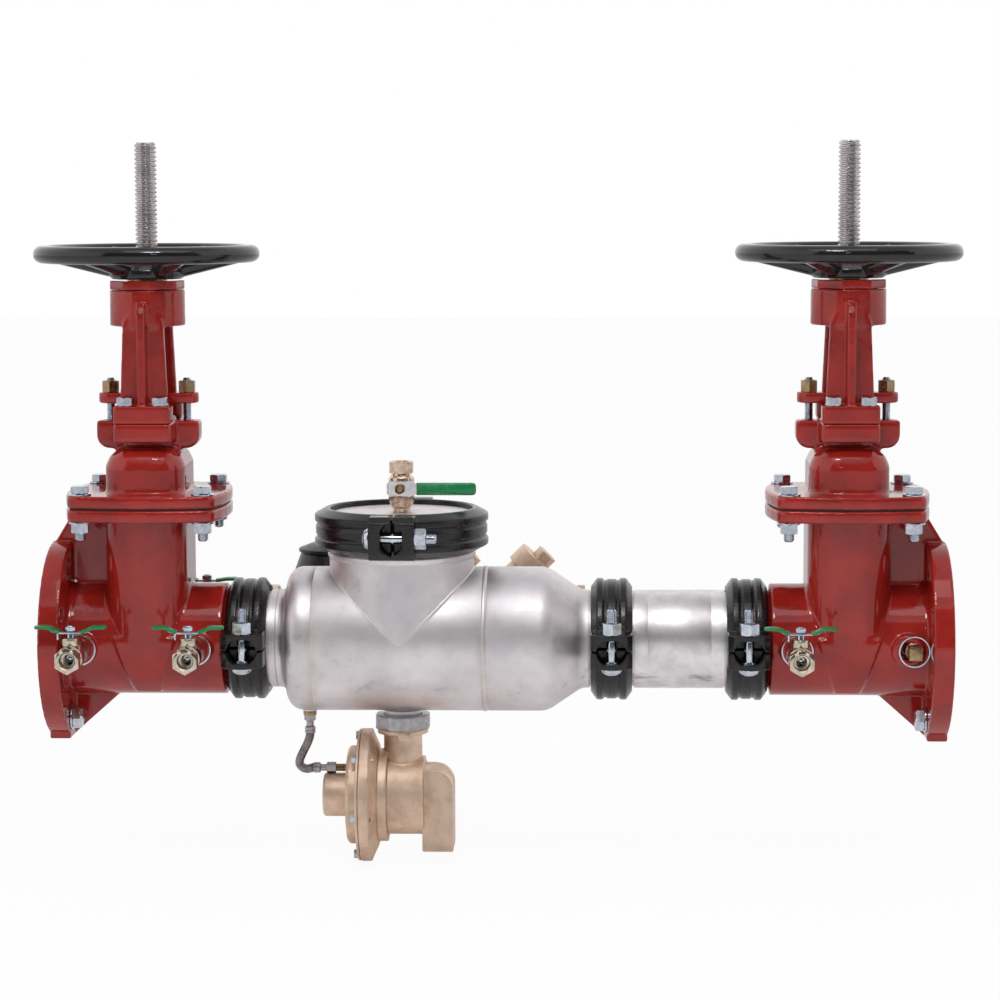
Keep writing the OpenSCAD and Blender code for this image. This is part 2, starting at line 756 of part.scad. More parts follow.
// Half section of the formed body: neck, swell, full pipe, knuckle, cone and neck
module body_outline(neck, full, over) {
    round_drop = (cone_knuckle + cone_fillet) * (1 - cos(cone_angle));
    run = (full - neck - round_drop) / tan(cone_angle);
    cone_end = cone_from + (cone_knuckle + cone_fillet) * sin(cone_angle) + run;
    polygon(concat(
        [[0, body_x0 - over], [neck, body_x0 - over]],
        [for (a = [0 : 15 : 90])
            [neck + swell_fillet * (1 - cos(a)), swell_from - swell_fillet * (1 - sin(a))]],
        [for (a = [0 : 15 : 90]) [full - swell_r * (1 - sin(a)), swell_from + swell_r * (1 - cos(a))]],
        [for (k = [0 : 4]) let (a = cone_angle * k / 4)
            [full - cone_knuckle * (1 - cos(a)), cone_from + cone_knuckle * sin(a)]],
        [for (k = [4 : -1 : 0]) let (a = cone_angle * k / 4)
            [neck + cone_fillet * (1 - cos(a)), cone_end - cone_fillet * sin(a)]],
        [[neck, body_x1 + over], [0, body_x1 + over]]
    ));
}

module spool_pipe() {
    difference() {
        translate([spool_x0, 0, 0]) along_x() cylinder(r = pipe_r, h = spool_len);
        translate([spool_x0 - 1, 0, 0]) along_x() cylinder(r = pipe_r - pipe_wall, h = spool_len + 2);
        pipe_groove(spool_x0 + groove_at, pipe_r);
        pipe_groove(spool_x1 - groove_at - groove_w, pipe_r);
    }
}

// Cover: stepped disc held under the upper key of the cover coupling
module cover_plate() {
    translate([tee_x, 0, 0]) difference() {
        union() {
            translate([0, 0, cover_z0]) cylinder(r = body_r, h = cover_step_z - cover_z0);
            translate([0, 0, cover_step_z - 1])
                cylinder(r = body_r - groove_depth - 0.6, h = cover_top - cover_step_z + 1);
        }
        translate([0, 0, cover_z0 - 1]) cylinder(r = body_r - 10, h = 8);
        translate([0, 0, cover_z0]) cylinder(r = nipple_r, h = 30);
    }
}

// Check seats: ring in the body with a three armed guide, and a cage that holds the spring
module check_seat() {
    cage_x = seat_t + disc_t + spring_len + 2 * seat;
    along_x() {
        ring(check_bore, body_r - body_wall - seat, 0, seat_t);
        ring(guide_r + running_fit, guide_r + 5, 0, seat_t);
        for (k = [0 : 2]) rotate(30 + 120 * k) {
            translate([guide_r + 3, -2.5, 0]) cube([check_bore - guide_r - 1, 5, seat_t]);
            translate([disc_r + 8, 0, seat_t - 1]) cylinder(r = 4, h = cage_x - seat_t + 2, $fn = 24);
            translate([guide_r + 3, -3, cage_x]) cube([disc_r + 7 - guide_r, 6, 5]);
        }
        ring(guide_r + seat, 32, cage_x, cage_x + 5);
    }
}

// Check disc with its guide stem on both sides
module check_disc() {
    along_x() {
        translate([0, 0, seat_t + seat]) cylinder(r1 = disc_r, r2 = disc_r - 3, h = disc_t);
        translate([0, 0, -guide_tail]) cylinder(r = guide_r, h = guide_tail + seat_t + disc_t + 10);
        translate([0, 0, seat_t + disc_t]) cylinder(r = 16, h = 5);
    }
}

module check_spring() {
    translate([seat_t + 2 * seat + disc_t, 0, 0]) along_x() coil(24, 2, 6, spring_len);
}

// Relief valve body: inlet neck with a collar, barrel, diaphragm flange and a hood over the outlet
module relief_body() {
    difference() {
        union() {
            translate([relief_x, 0, -relief_z])
                cylinder(r = relief_neck_r, h = relief_z + union_z0 + union_lap);
            translate([relief_x, 0, relief_collar_z])
                cylinder(r = relief_collar_r, h = union_z0 - relief_collar_z - 0.1);
            translate([relief_x - 4, -relief_collar_r - 0.8, relief_collar_z - 5.5]) cube([14, 10, 8]);
            translate([0, 0, -relief_z]) along_x() {
                translate([0, 0, diaphragm_x1]) cylinder(r = relief_flange_r, h = flange_back - diaphragm_x1);
                ring(relief_flange_r - diaphragm_lip, relief_flange_r, diaphragm_x0 + seat, diaphragm_x1 + 1);
                translate([0, 0, flange_back])
                    cylinder(r1 = relief_flange_r - 1, r2 = relief_step_r + 5, h = 8);
                translate([0, 0, flange_back]) cylinder(r = relief_step_r, h = relief_step_len);
                translate([0, 0, flange_back]) cylinder(r = relief_barrel_r, h = outlet_x0 + 2 - flange_back);
            }
            outlet_hood(0);
        }
        translate([relief_x, 0, -relief_z + 8]) cylinder(r = relief_bore_r, h = relief_z);
        translate([0, 0, -relief_z]) along_x() {
            translate([0, 0, diaphragm_x]) cylinder(r = chamber_r, h = chamber_back - diaphragm_x);
            translate([0, 0, chamber_back - 5]) cylinder(r = plunger_r + running_fit, h = 20);
            translate([0, 0, chamber_back + 6])
                cylinder(r = relief_barrel_r - 10, h = relief_seat_x - chamber_back - 6);
            translate([0, 0, relief_seat_x - 4]) cylinder(r = relief_port_r, h = 30);
        }
        outlet_hood(outlet_wall);
        relief_screw_holes();
    }
}

// Hood over the outlet, open below; inset gives its hollow
module outlet_hood(inset) {
    round_r = 23 - inset;
    w = outlet_x1 - outlet_x0 - 2 * inset;
    low = outlet_z0 - (inset > 0 ? 1 : 0);
    top = outlet_z1 - inset;
    half = outlet_half - inset;
    translate([outlet_x0 + inset, half, 0]) along_front() linear_extrude(2 * half) {
        translate([0, low]) square([w, top - round_r - low]);
        translate([0, top - round_r - 1]) square([w - round_r, round_r + 1]);
        translate([w - round_r, top - round_r]) circle(round_r);
    }
}

module at_relief_screws() {
    for (k = [0 : screw_count - 1]) translate([0, 0, -relief_z])
        rotate([screw_turn + 360 * k / screw_count, 0, 0]) translate([0, 0, relief_flange_r - 8])
        along_x() children();
}
module relief_screw_holes() {
    at_relief_screws() translate([0, 0, diaphragm_x - 7]) cylinder(r = screw_r + 0.2, h = 40);
}

// Relief cover: rim over the diaphragm, low dome and the spring boss
module relief_cover() {
    difference() {
        translate([0, 0, -relief_z]) along_x() {
            translate([0, 0, diaphragm_x]) cylinder(r = relief_flange_r - 0.5, h = cover_rim_t);
            translate([0, 0, cover_x0 + cover_bevel])
                cylinder(r = cover_dome_r, h = diaphragm_x + 1 - cover_x0 - cover_bevel);
            translate([0, 0, cover_x0])
                cylinder(r1 = cover_dome_r - cover_bevel, r2 = cover_dome_r, h = cover_bevel + 0.1);
            translate([0, 0, spring_box_x + 2]) cylinder(r = spring_box_r, h = cover_x0 + 1 - spring_box_x);
            translate([0, 0, spring_box_x]) cylinder(r1 = spring_box_r - 2, r2 = spring_box_r, h = 2);
        }
        translate([0, 0, -relief_z]) along_x() {
            translate([0, 0, relief_spring_x - 0.2]) cylinder(r = spring_box_r - spring_box_wall, h = 40);
            translate([0, 0, cover_hollow_x]) cylinder(r = cover_hollow_r, h = 20);
        }
        translate([cover_x0 - 4, 0, hose_end_z]) along_x() cylinder(r = nipple_tip_r + 0.2, h = 12);
        relief_screw_holes();
    }
}

module relief_diaphragm() {
    difference() {
        translate([0, 0, -relief_z]) along_x()
            ring(chamber_r + 1, relief_flange_r - diaphragm_lip - seat, diaphragm_x0, diaphragm_x1);
        relief_screw_holes();
    }
}

// Eight sided union nut with blunt corners under the check body
module relief_union_nut() {
    half = 31.2;
    translate([relief_x, 0, union_z0]) difference() {
        intersection() {
            rotate(22.5) cylinder(r = half / cos(22.5), h = union_z1 - union_z0, $fn = 8);
            cylinder(r = half + 1.5, h = union_z1 - union_z0);
        }
        translate([0, 0, -1]) cylinder(r = relief_neck_r + seat, h = 20);
    }
}

// Relief plunger: stem through the diaphragm, spring plate and seat disc
module relief_plunger() {
    plate_r = 32;
    plate_t = 3;
    translate([0, 0, -relief_z]) along_x() {
        translate([0, 0, relief_spring_x + 15.8])
            cylinder(r = plunger_r, h = relief_seat_x - 2 - relief_spring_x - 15.8);
        translate([0, 0, diaphragm_x0 - plate_t]) cylinder(r = plate_r, h = plate_t);
        translate([0, 0, diaphragm_x0]) cylinder(r = chamber_r - 2, h = diaphragm_x1 - diaphragm_x0);
        translate([0, 0, diaphragm_x1]) cylinder(r = plate_r, h = plate_t);
        translate([0, 0, relief_seat_x - 8]) cylinder(r = relief_port_r + 3, h = 8 - seat);
    }
}

module relief_spring() {
    translate([relief_spring_x, 0, -relief_z]) along_x()
        coil(14.5, 1.6, 6, diaphragm_x - 0.2 - relief_spring_x);
}

module relief_screw() {
    translate([0, 0, diaphragm_x - 5.5]) hex_bar(10, 5.5);
    translate([0, 0, diaphragm_x]) cylinder(r = screw_r, h = 14);
}

// Sensing hose: braided tube from the inlet side of the body to the relief cover
hose_route = [
    [sensing_x, hose_top_z - 0.3], [sensing_x, hose_top_z - 6.9], [sensing_x - 0.9, -118],
    [295.3, -126], [291, -134.5], [287.6, -142], [286.3, -147.5], [287.3, -151.2], [290.5, -154.4],
    [295, -155.6], [299.5, -154.9], [hose_end_x - 7.2, hose_end_z], [hose_end_x - 0.3, hose_end_z]
];
module sensing_hose() {
    last = len(hose_route) - 1;
    sides = 10;
    across = [0, 1, 0];
    path = [for (p = hose_route) [p[0], 0, p[1]]];
    rings = [for (i = [0 : last])
        let (
            d = path[min(i + 1, last)] - path[max(i - 1, 0)],
            up = cross(across, d / norm(d))
        )
        for (k = [0 : sides - 1])
            path[i] + hose_r * (cos(360 * k / sides) * across + sin(360 * k / sides) * up)];
    polyhedron(rings, tube_faces(last + 1, sides));
}

// Ferrule along Z with the hose end in its open lower end
module ferrule() {
    difference() {
        cylinder(r = ferrule_r, h = 7.5);
        translate([0, 0, -1]) cylinder(r = hose_r + 0.1, h = 7);
    }
}

// Bushing, swivel hexes, ferrules and the brass nipple at the cover
module hose_fittings() {
    swivel = 11.5;
    translate([sensing_x, 0, hose_top_z]) {
        color(brass) translate([0, 0, 15]) cylinder(r = 7.9, h = 5);
        color(zinc) {
            translate([0, 0, 8.5]) hex_bar(13, 7);
            translate([0, 0, 1]) cylinder(r = 4.4, h = 8);
            translate([0, 0, -6]) ferrule();
        }
    }
    color(zinc) translate([hose_end_x, 0, hose_end_z]) along_x() {
        translate([0, 0, -6]) ferrule();
        translate([0, 0, 1]) cylinder(r = 4, h = 9);
        translate([0, 0, 9]) rotate(30) hex_bar(swivel, 11);
    }
    color(brass) translate([0, 0, hose_end_z]) along_x() {
        translate([0, 0, hose_end_x + 19]) cylinder(r = 4.6, h = cover_x0 - hose_end_x - 19);
        translate([0, 0, cover_x0 - 1]) cylinder(r = nipple_tip_r, h = 5);
    }
}

// Test cock along +Z of its own frame: male end below, hexagon end above, stem housing toward side_up
module cock_shape(len, root_r, root_len) {
    barrel_r = 14.8;
    barrel_at = len - 48;
    cylinder(r = root_r, h = root_len + 1);
    translate([0, 0, root_len]) cylinder(r1 = root_r + 1, r2 = barrel_r - 1.2, h = 3);
    translate([0, 0, root_len + 2.5]) cylinder(r = barrel_r - 1.2, h = barrel_at - root_len);
    translate([0, 0, barrel_at]) cylinder(r = barrel_r, h = 29);
    translate([0, 0, len - 19]) cylinder(r1 = barrel_r, r2 = barrel_r - 3, h = 3);
    translate([0, 0, len - 17]) cylinder(r = barrel_r - 3.2, h = 6);
    translate([0, 0, len - 13.5]) rotate(30) hex_bar(cock_hex, 13.5);
}

// Waterway, threaded socket and ball chamber of a test cock
module cock_bores(len) {
    translate([0, 0, len - 12]) cylinder(r = 8.6, h = 13);
    translate([0, 0, -1]) cylinder(r = 6, h = len);
    translate([0, 0, len - 30]) sphere(cock_ball_r + seat);
}

// Nickel test cocks on the three valve bosses
module test_cock() {
    root = boss_face - boss_hole_depth + 0.2;
    stem_y = -cock_handle_y;
    difference() {
        union() {
            translate([0, -root, cock_z]) along_front()
                cock_shape(cock_face - root, nipple_r - 0.1, boss_hole_depth + 6);
            translate([0, stem_y, cock_z]) cylinder(r = 8, h = 22);
            translate([0, stem_y, cock_z + 14]) cylinder(r = 10, h = 9);
        }
        translate([0, -root, cock_z]) along_front() cock_bores(cock_face - root);
        translate([0, stem_y, cock_z + 5]) cylinder(r = cock_stem_r + running_fit, h = 30);
    }
}

// Ball, stem, tee handle with raised wings and its nut, standing on the ball centre
module tee_handle(half, stem_r, ball_r, rise, bend) {
    t = 2.6;
    top = bend + t + 1.6;
    wing = [[half * 0.34, t], [half * 0.6, top], [half, top], [half, bend], [half * 0.62, bend],
        [half * 0.36, 0]];
    color(zinc) difference() {
        union() {
            sphere(ball_r, $fn = 32);
            cylinder(r = stem_r, h = rise + 9);
            translate([0, 0, rise + t]) hex_bar(11, 5);
        }
        translate([-ball_r, 0, 0]) along_x() cylinder(r = ball_r * 0.6, h = 2 * ball_r);
    }
    color(green) difference() {
        translate([0, half * 0.18, rise]) along_front() linear_extrude(half * 0.36)
            polygon(concat(wing, [for (k = [len(wing) - 1 : -1 : 0]) [-wing[k][0], wing[k][1]]]));
        translate([0, 0, rise - 1]) cylinder(r = stem_r - 0.1, h = 10);
    }
}

module cock_handle(x) {
    translate([x, -cock_handle_y, cock_z])
        tee_handle(handle_half, cock_stem_r, cock_ball_r, cock_handle_rise - cock_z, 5);
}

// Bronze test cock on the cover
module cover_cock_body() {
    root = cover_z0 + 8;
    translate([tee_x, 0, 0]) difference() {
        union() {
            translate([0, 0, root]) cock_shape(cover_cock_top - root, nipple_r - 0.1, 14);
            translate([0, 0, cover_cock_ball_z]) along_front() cylinder(r = 9, h = cover_cock_face - 2);
        }
        translate([0, 0, root]) cock_bores(cover_cock_top - root);
        translate([0, -5, cover_cock_ball_z]) along_front() cylinder(r = cock_stem_r + running_fit, h = 30);
    }
}

// Ball, stem and flat lever with a cranked root and a round end
module cover_cock_lever() {
    grip_from = 19;
    grip_half = 7.2;
    translate([tee_x, 0, cover_cock_ball_z]) {
        color(zinc) difference() {
            union() {
                sphere(cock_ball_r, $fn = 32);
                along_front() cylinder(r = cock_stem_r, h = cover_cock_face + 8);
                along_front() translate([0, 0, cover_cock_face + 2.5]) hex_bar(11, 5);
            }
            translate([-cock_ball_r, 0, 0]) along_x() cylinder(r = 5.8, h = 2 * cock_ball_r);
        }
        color(zinc) difference() {
            translate([-9, -cover_cock_face - 2.5, -8]) cube([grip_from + 12, 2.5, 16]);
            translate([0, -cover_cock_face + 1, 0]) along_front() cylinder(r = cock_stem_r - 0.1, h = 5);
        }
        color(green) translate([0, -cover_cock_face + 0.8, 0]) along_front() linear_extrude(4.2) {
            translate([grip_from, -grip_half]) square([lever_len - grip_from - grip_half, 2 * grip_half]);
            translate([lever_len - grip_half, 0]) circle(grip_half);
        }
    }
}

module boss_plug() {
    translate([0, -boss_face + boss_hole_depth - 0.2, cock_z]) along_front() {
        cylinder(r = nipple_r - 0.1, h = boss_hole_depth + 3);
        translate([-8, -8, boss_hole_depth + 2]) cube([16, 16, 14]);
    }
}

// Bypass pipe work: nipples, elbows and the runs between the fittings
module bypass_elbow(turn_x) {
    r = bypass_pipe_r + 4.5;
    sphere(r, $fn = 32);
    front_arm = bypass_y - bypass_valve_y - bypass_valve_half - seat;
    along_front() cylinder(r = r, h = front_arm - 1);
    along_front() translate([0, 0, front_arm - 7]) cylinder(r = r + 2.5, h = 7);
    rotate([0, turn_x * 90, 0]) {
        cylinder(r = r, h = 20);
        translate([0, 0, 14]) cylinder(r = r + 2.5, h = 7);
    }
}

module bypass_run(x0, x1) {
    translate([x0, bypass_y, bypass_z]) along_x() cylinder(r = bypass_pipe_r, h = x1 - x0);
}

module bypass_pipes() {
    root = bypass_boss_face - boss_hole_depth + 0.2;
    for (x = [bypass_in_x, bypass_out_x]) translate([x, root, bypass_z]) along_back()
        cylinder(r = bypass_pipe_r - 0.1, h = bypass_valve_y - bypass_valve_half - root);
    translate([bypass_in_x, bypass_y, bypass_z]) bypass_elbow(1);
    translate([bypass_out_x, bypass_y, bypass_z]) bypass_elbow(-1);
    bypass_run(bypass_in_x + 20, meter_x - meter_half);
    bypass_run(backflow_x1, bypass_out_x - 20);
}

// Bypass ball valve along Y, stem housing toward up
module bypass_valve(up) {
    half = bypass_valve_half;
    difference() {
        union() {
            translate([0, -half, 0]) along_back() {
                rotate(30) hex_bar(34, 12);
                translate([0, 0, 10]) cylinder(r = 19, h = 2 * half - 20);
                translate([0, 0, 2 * half - 12]) rotate(30) hex_bar(34, 12);
            }
            translate([0, 0, up > 0 ? 0 : -28]) cylinder(r = 9, h = 28);
        }
        translate([0, -half - 1, 0]) along_back() cylinder(r = 9, h = 2 * half + 2);
        sphere(bypass_ball_r + 0.3);
        translate([0, 0, up > 0 ? 8 : -38]) cylinder(r = 5 + running_fit, h = 30);
    }
}

module bypass_valve_bodies() {
    translate([bypass_in_x, bypass_valve_y, bypass_z]) bypass_valve(1);
    translate([bypass_out_x, bypass_valve_y, bypass_z]) bypass_valve(-1);
}

module bypass_handle_in() {
    translate([bypass_in_x, bypass_valve_y, bypass_z])
        tee_handle(handle_half - 4, 5, bypass_ball_r, bypass_stem_rise, 1.5);
}

module bypass_handle_out() {
    translate([bypass_out_x, bypass_valve_y, bypass_z]) mirror([0, 0, 1])
        tee_handle(handle_half - 4, 5, bypass_ball_r, bypass_stem_rise, 1.5);
}

// Water meter: bronze body with union spuds, black register housing and lid
module bypass_meter() {
    translate([meter_x, bypass_y, 0]) {
        color(bronze) {
            translate([0, 0, bypass_z]) {
                translate([-meter_half, 0, 0]) along_x() {
                    hex_bar(38, 16);
                    translate([0, 0, 16]) cylinder(r = 15, h = 2 * meter_half - 32);
                    translate([0, 0, 2 * meter_half - 16]) hex_bar(38, 16);
                }
            }
            translate([0, 0, bypass_z - 30]) cylinder(r1 = meter_body_r - 4, r2 = meter_body_r, h = 6);
            translate([0, 0, bypass_z - 24]) cylinder(r = meter_body_r, h = register_z + 4 - bypass_z + 24);
        }
        color(black) difference() {
            union() {
                translate([0, 0, register_z])
                    cylinder(r1 = meter_r + register_flare, r2 = meter_r - 3, h = meter_top - register_z);
                for (s = [-1, 1]) translate([0, s * (lid_lug_half + 2.3) - 2, meter_top - 12]) {
                    translate([lid_hinge_x - 12, 0, 0]) cube([15.5, 4, 11.5]);
                    translate([lid_hinge_x - lid_eye_r, 0, 0]) cube([2 * lid_eye_r, 4, 18.5]);
                }
            }
            translate([0, 0, meter_top - 16]) cylinder(r = meter_r - 7, h = 30);
            translate([lid_hinge_x, -20, lid_hinge_z]) along_back()
                cylinder(r = lid_pin_r + running_fit, h = 40);
        }
    }
}

// Lid of the register: low dome with a lug and a pin on its right
module meter_lid() {
    translate([meter_x, bypass_y, 0]) {
        difference() {
            translate([0, 0, meter_top + seat]) {
                cylinder(r = meter_r, h = 4);
                translate([0, 0, 3.9]) cylinder(r1 = meter_r, r2 = meter_r - 17, h = 6.5);
            }
            translate([lid_hinge_x - 14, -lid_lug_half - 7, meter_top - 1])
                cube([20, 2 * lid_lug_half + 14, 20]);
        }
        translate([lid_hinge_x - 16, -lid_lug_half, meter_top + seat]) cube([16, 2 * lid_lug_half, 3]);
        translate([lid_hinge_x, 0, lid_hinge_z]) along_front() {
            translate([0, 0, -lid_lug_half]) cylinder(r = lid_eye_r, h = 2 * lid_lug_half);
            translate([0, 0, -lid_lug_half - 4]) cylinder(r = lid_pin_r, h = 2 * lid_lug_half + 8);
        }
    }
}

// Small backflow preventer in the bypass: two 45 degree checks with screwed bonnets and a relief port
module bypass_backflow() {
    color(bronze) translate([0, bypass_y, bypass_z]) {
        translate([backflow_x0, 0, 0]) along_x() {
            hex_bar(36, 14);
            translate([0, 0, 12]) cylinder(r = 18, h = backflow_x1 - backflow_x0 - 24);
            translate([0, 0, backflow_x1 - backflow_x0 - 26]) hex_bar(34, 17);
            translate([0, 0, backflow_x1 - backflow_x0 - 9.8]) cylinder(r = 20.5, h = 9.8);
        }
        for (k = [0, 1]) translate([bypass_check_x + k * bypass_check_pitch, 0, 0]) rotate([0, 45, 0]) {
            cylinder(r = 18, h = 58);
            translate([0, 0, 55]) cylinder(r = 22.6, h = 23.5);
            translate([7, 0, 78]) hex_bar(23, 13);
        }
        translate([bypass_check_x + 40, 0, -46]) {
            cylinder(r = 15, h = 46);
            cylinder(r = 20, h = 14);
        }
    }
}

module bonnet_gasket() {
    difference() {
        lid_block(lid_w - 6, body_lid_top, bonnet_z0);
        translate([-pocket_w / 2, -pocket_d / 2, seam_z - 5]) cube([pocket_w, pocket_d, 10]);
        lid_holes();
    }
}

// Three square packing rings under the gland nose
module stem_packing() {
    ring_h = (box_top - 17 - dome_top + 2) / 3;
    for (k = [0 : 2]) ring(stem_d / 2 + running_fit, box_bore - seat / 3, dome_top - 2 + k * ring_h,
        dome_top - 2 + (k + 1) * ring_h - 0.05);
}

module pipe_coupling_half(side) {
    coupling_half(side, pipe_r, coupling_r, coupling_w, pipe_pad_w, pipe_window, pipe_bolt_y);
}

module at_cover() { translate([tee_x, 0, cover_z]) rotate(cover_turn) children(); }

module cover_coupling_half(side) {
    at_cover() coupling_half(side, body_r, cover_coupling_r, cover_coupling_w, cover_pad_w,
        cover_window, cover_bolt_y);
}

module coupling_gaskets() {
    at_joints() coupling_gasket(pipe_r);
    at_cover() coupling_gasket(body_r);
}

// Bolts of the three pipe couplings and of the cover coupling
module coupling_bolts() {
    at_joints() for (s = [-1, 1]) translate([0, s * pipe_bolt_y, 0]) rotate(180)
        track_bolt(-pipe_pad_w / 2, pipe_pad_w / 2, bolt_end);
    at_cover() for (s = [-1, 1]) translate([0, s * cover_bolt_y, 0])
        track_bolt(-cover_pad_w / 2, cover_pad_w / 2, bolt_end + 2);
}

module test_cock_bodies() {
    for (x = [stem_at - outer_cock_at, stem_at + inner_cock_at, outlet_stem_x - inner_cock_at])
        translate([x, 0, 0]) test_cock();
}

color(red) at_inlet() valve_body(outer_cock_at);  // inlet_valve_body
color(red) at_outlet() valve_body(plug_at);  // outlet_valve_body
color(red) at_inlet() bonnet();  // inlet_bonnet
color(red) at_outlet() bonnet();  // outlet_bonnet
color(rubber) at_inlet() gate();  // inlet_gate
color(rubber) at_outlet() gate();  // outlet_gate
color(stainless) at_inlet() stem();  // inlet_stem
color(stainless) at_outlet() stem();  // outlet_stem
color(red) at_inlet() gland();  // inlet_gland
color(red) at_outlet() gland();  // outlet_gland
color(red) at_inlet() yoke();  // inlet_yoke
color(red) at_outlet() yoke();  // outlet_yoke
color(brass) at_inlet() stem_nut();  // inlet_stem_nut
color(brass) at_outlet() stem_nut();  // outlet_stem_nut
color(red) at_inlet() yoke_cap();  // inlet_yoke_cap
color(red) at_outlet() yoke_cap();  // outlet_yoke_cap
color(black) at_inlet() handwheel();  // inlet_handwheel
color(black) at_outlet() handwheel();  // outlet_handwheel
color(brass) at_outlet() translate([-plug_at, 0, 0]) boss_plug();
color(rubber) at_both() bonnet_gasket();  // bonnet_gaskets
color(rubber) at_both() stem_packing();
color(zinc) at_both()  // bonnet_bolts
    for (sx = [-1, 1], sy = [-1, 1]) translate([sx * lid_bolt, sy * lid_bolt, 0]) bonnet_bolt();
color(zinc) at_both() yoke_bolt_places() yoke_bolt();  // yoke_bolts
color(brass) at_both()  // gland_studs
    for (sx = [-1, 1]) translate([sx * stud_at, 0, 0]) gland_stud();
color(black) at_joints() pipe_coupling_half(-1);  // coupling_uppers
color(black) at_joints() pipe_coupling_half(1);  // coupling_lowers
color(black) cover_coupling_half(-1);  // cover_coupling_left
color(black) cover_coupling_half(1);  // cover_coupling_right
color(rubber) coupling_gaskets();
color(zinc) coupling_bolts();
color(stainless) check_body();
color(stainless) spool_pipe();
color(stainless) cover_plate();
color(stainless)  // check_seats
    for (x = seat_x) translate([x, 0, 0]) check_seat();
color(rubber) translate([seat_x[0], 0, 0]) check_disc();  // check_disc_1
color(rubber) translate([seat_x[1], 0, 0]) check_disc();  // check_disc_2
color(zinc) translate([seat_x[0], 0, 0]) check_spring();  // check_spring_1
color(zinc) translate([seat_x[1], 0, 0]) check_spring();  // check_spring_2
color(bronze) relief_body();
color(bronze) relief_cover();
color(rubber) relief_diaphragm();
color(stainless) relief_union_nut();
color(brass) relief_plunger();
color(zinc) relief_spring();
color(zinc) at_relief_screws() relief_screw();  // relief_screws
color(zinc) sensing_hose();
hose_fittings();
color(nickel) test_cock_bodies();
color(bronze) cover_cock_body();
cock_handle(stem_at - outer_cock_at);  // cock_handle_1
cock_handle(stem_at + inner_cock_at);  // cock_handle_2
cover_cock_lever();
cock_handle(outlet_stem_x - inner_cock_at);  // cock_handle_4
color(bronze) bypass_pipes();
color(bronze) bypass_valve_bodies();
bypass_handle_in();
bypass_handle_out();
bypass_meter();
color(black) meter_lid();
bypass_backflow();
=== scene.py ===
"""Reduced pressure detector assembly in Blender: finishes, cast and machined detail, studio.

Lengths in the shape functions are millimetres in the part's own frame; a piece is scaled to
metres when it is made.
"""
import math
import random

import bmesh
import bpy
from mathutils import Matrix, Vector


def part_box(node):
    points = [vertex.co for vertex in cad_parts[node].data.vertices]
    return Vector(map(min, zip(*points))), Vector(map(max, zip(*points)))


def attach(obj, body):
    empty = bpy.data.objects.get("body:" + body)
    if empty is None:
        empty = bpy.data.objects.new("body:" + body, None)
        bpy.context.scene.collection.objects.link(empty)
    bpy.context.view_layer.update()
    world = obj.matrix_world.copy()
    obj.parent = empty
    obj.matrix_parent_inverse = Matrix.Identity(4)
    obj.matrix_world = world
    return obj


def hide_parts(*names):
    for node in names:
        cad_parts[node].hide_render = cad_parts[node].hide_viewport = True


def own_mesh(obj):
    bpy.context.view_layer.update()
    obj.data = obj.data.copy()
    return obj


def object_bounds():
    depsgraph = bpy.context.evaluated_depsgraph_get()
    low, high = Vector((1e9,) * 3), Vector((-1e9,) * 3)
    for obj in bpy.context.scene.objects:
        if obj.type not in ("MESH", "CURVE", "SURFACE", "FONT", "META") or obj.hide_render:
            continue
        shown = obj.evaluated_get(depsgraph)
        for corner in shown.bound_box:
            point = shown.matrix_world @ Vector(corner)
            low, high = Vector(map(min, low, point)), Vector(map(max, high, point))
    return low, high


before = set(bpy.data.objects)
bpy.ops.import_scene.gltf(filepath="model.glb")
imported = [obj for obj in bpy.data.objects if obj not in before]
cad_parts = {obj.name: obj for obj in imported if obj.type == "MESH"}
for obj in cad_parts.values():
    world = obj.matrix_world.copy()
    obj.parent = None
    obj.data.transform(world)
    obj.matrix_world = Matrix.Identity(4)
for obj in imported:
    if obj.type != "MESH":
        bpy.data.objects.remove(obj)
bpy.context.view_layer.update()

MM = 0.001

# Sizes shared with the solid model, in millimetres
STEM_X = {"inlet": 115.0, "outlet": 924.6}
STEM_PITCH = 5.08
FLANGE_FACES = ((0.0, "X"), (1039.6, "-X"))
FLANGE_T = 24.2
FLANGE_BOLT_Y, FLANGE_BOLT_Z = -36.45, -88.0
JOINT_TOP, JOINT_UNDER = 175.25, 144.75
YOKE_FOOT_TOP = 276.1
GLAND_TOP = 288.5
STUD_R = 5.0
TEE_X = 408.5
BODY_X0, BODY_X1 = 232.2, 651.2
SPOOL_X0, SPOOL_X1 = 654.4, 807.4
JOINTS_X = (230.6, 652.8, 809.0)
PIPE_R, BODY_R = 57.15, 84.15
PIPE_WALL, BODY_WALL = 5.0, 4.0
GROOVE_AT, GROOVE_W, GROOVE_DEPTH = 15.9, 8.7, 2.1
BRANCH_END = 128.4
COVER_COUPLING_Z = 130.0
RELIEF_Z = -186.0
LID_BOLT = 70.5
BOSS_OUT, BOSS_IN = 73.0, 60.0
COCKS = {1: STEM_X["inlet"] - BOSS_OUT, 2: STEM_X["inlet"] + BOSS_IN, 4: STEM_X["outlet"] - BOSS_IN}
PLUG_X = STEM_X["outlet"] + BOSS_OUT
BOSS_FACE, BOSS_ROOT = 75.0, 59.2
COCK_Z = -3.0
COCK_FACE = 160.0
COCK_STEM_Y = -130.0
COCK_THREAD_R = 10.4
COVER_COCK_Z = 178.0
HOSE_X, HOSE_END_Z = 299.2, -153.9
BYPASS_IN, BYPASS_Y, BYPASS_Z = 49.0, 116.0, 20.0
METER_AT = (315.0, 165.0, 0.0)
SEAMS = (308.0, 506.0)

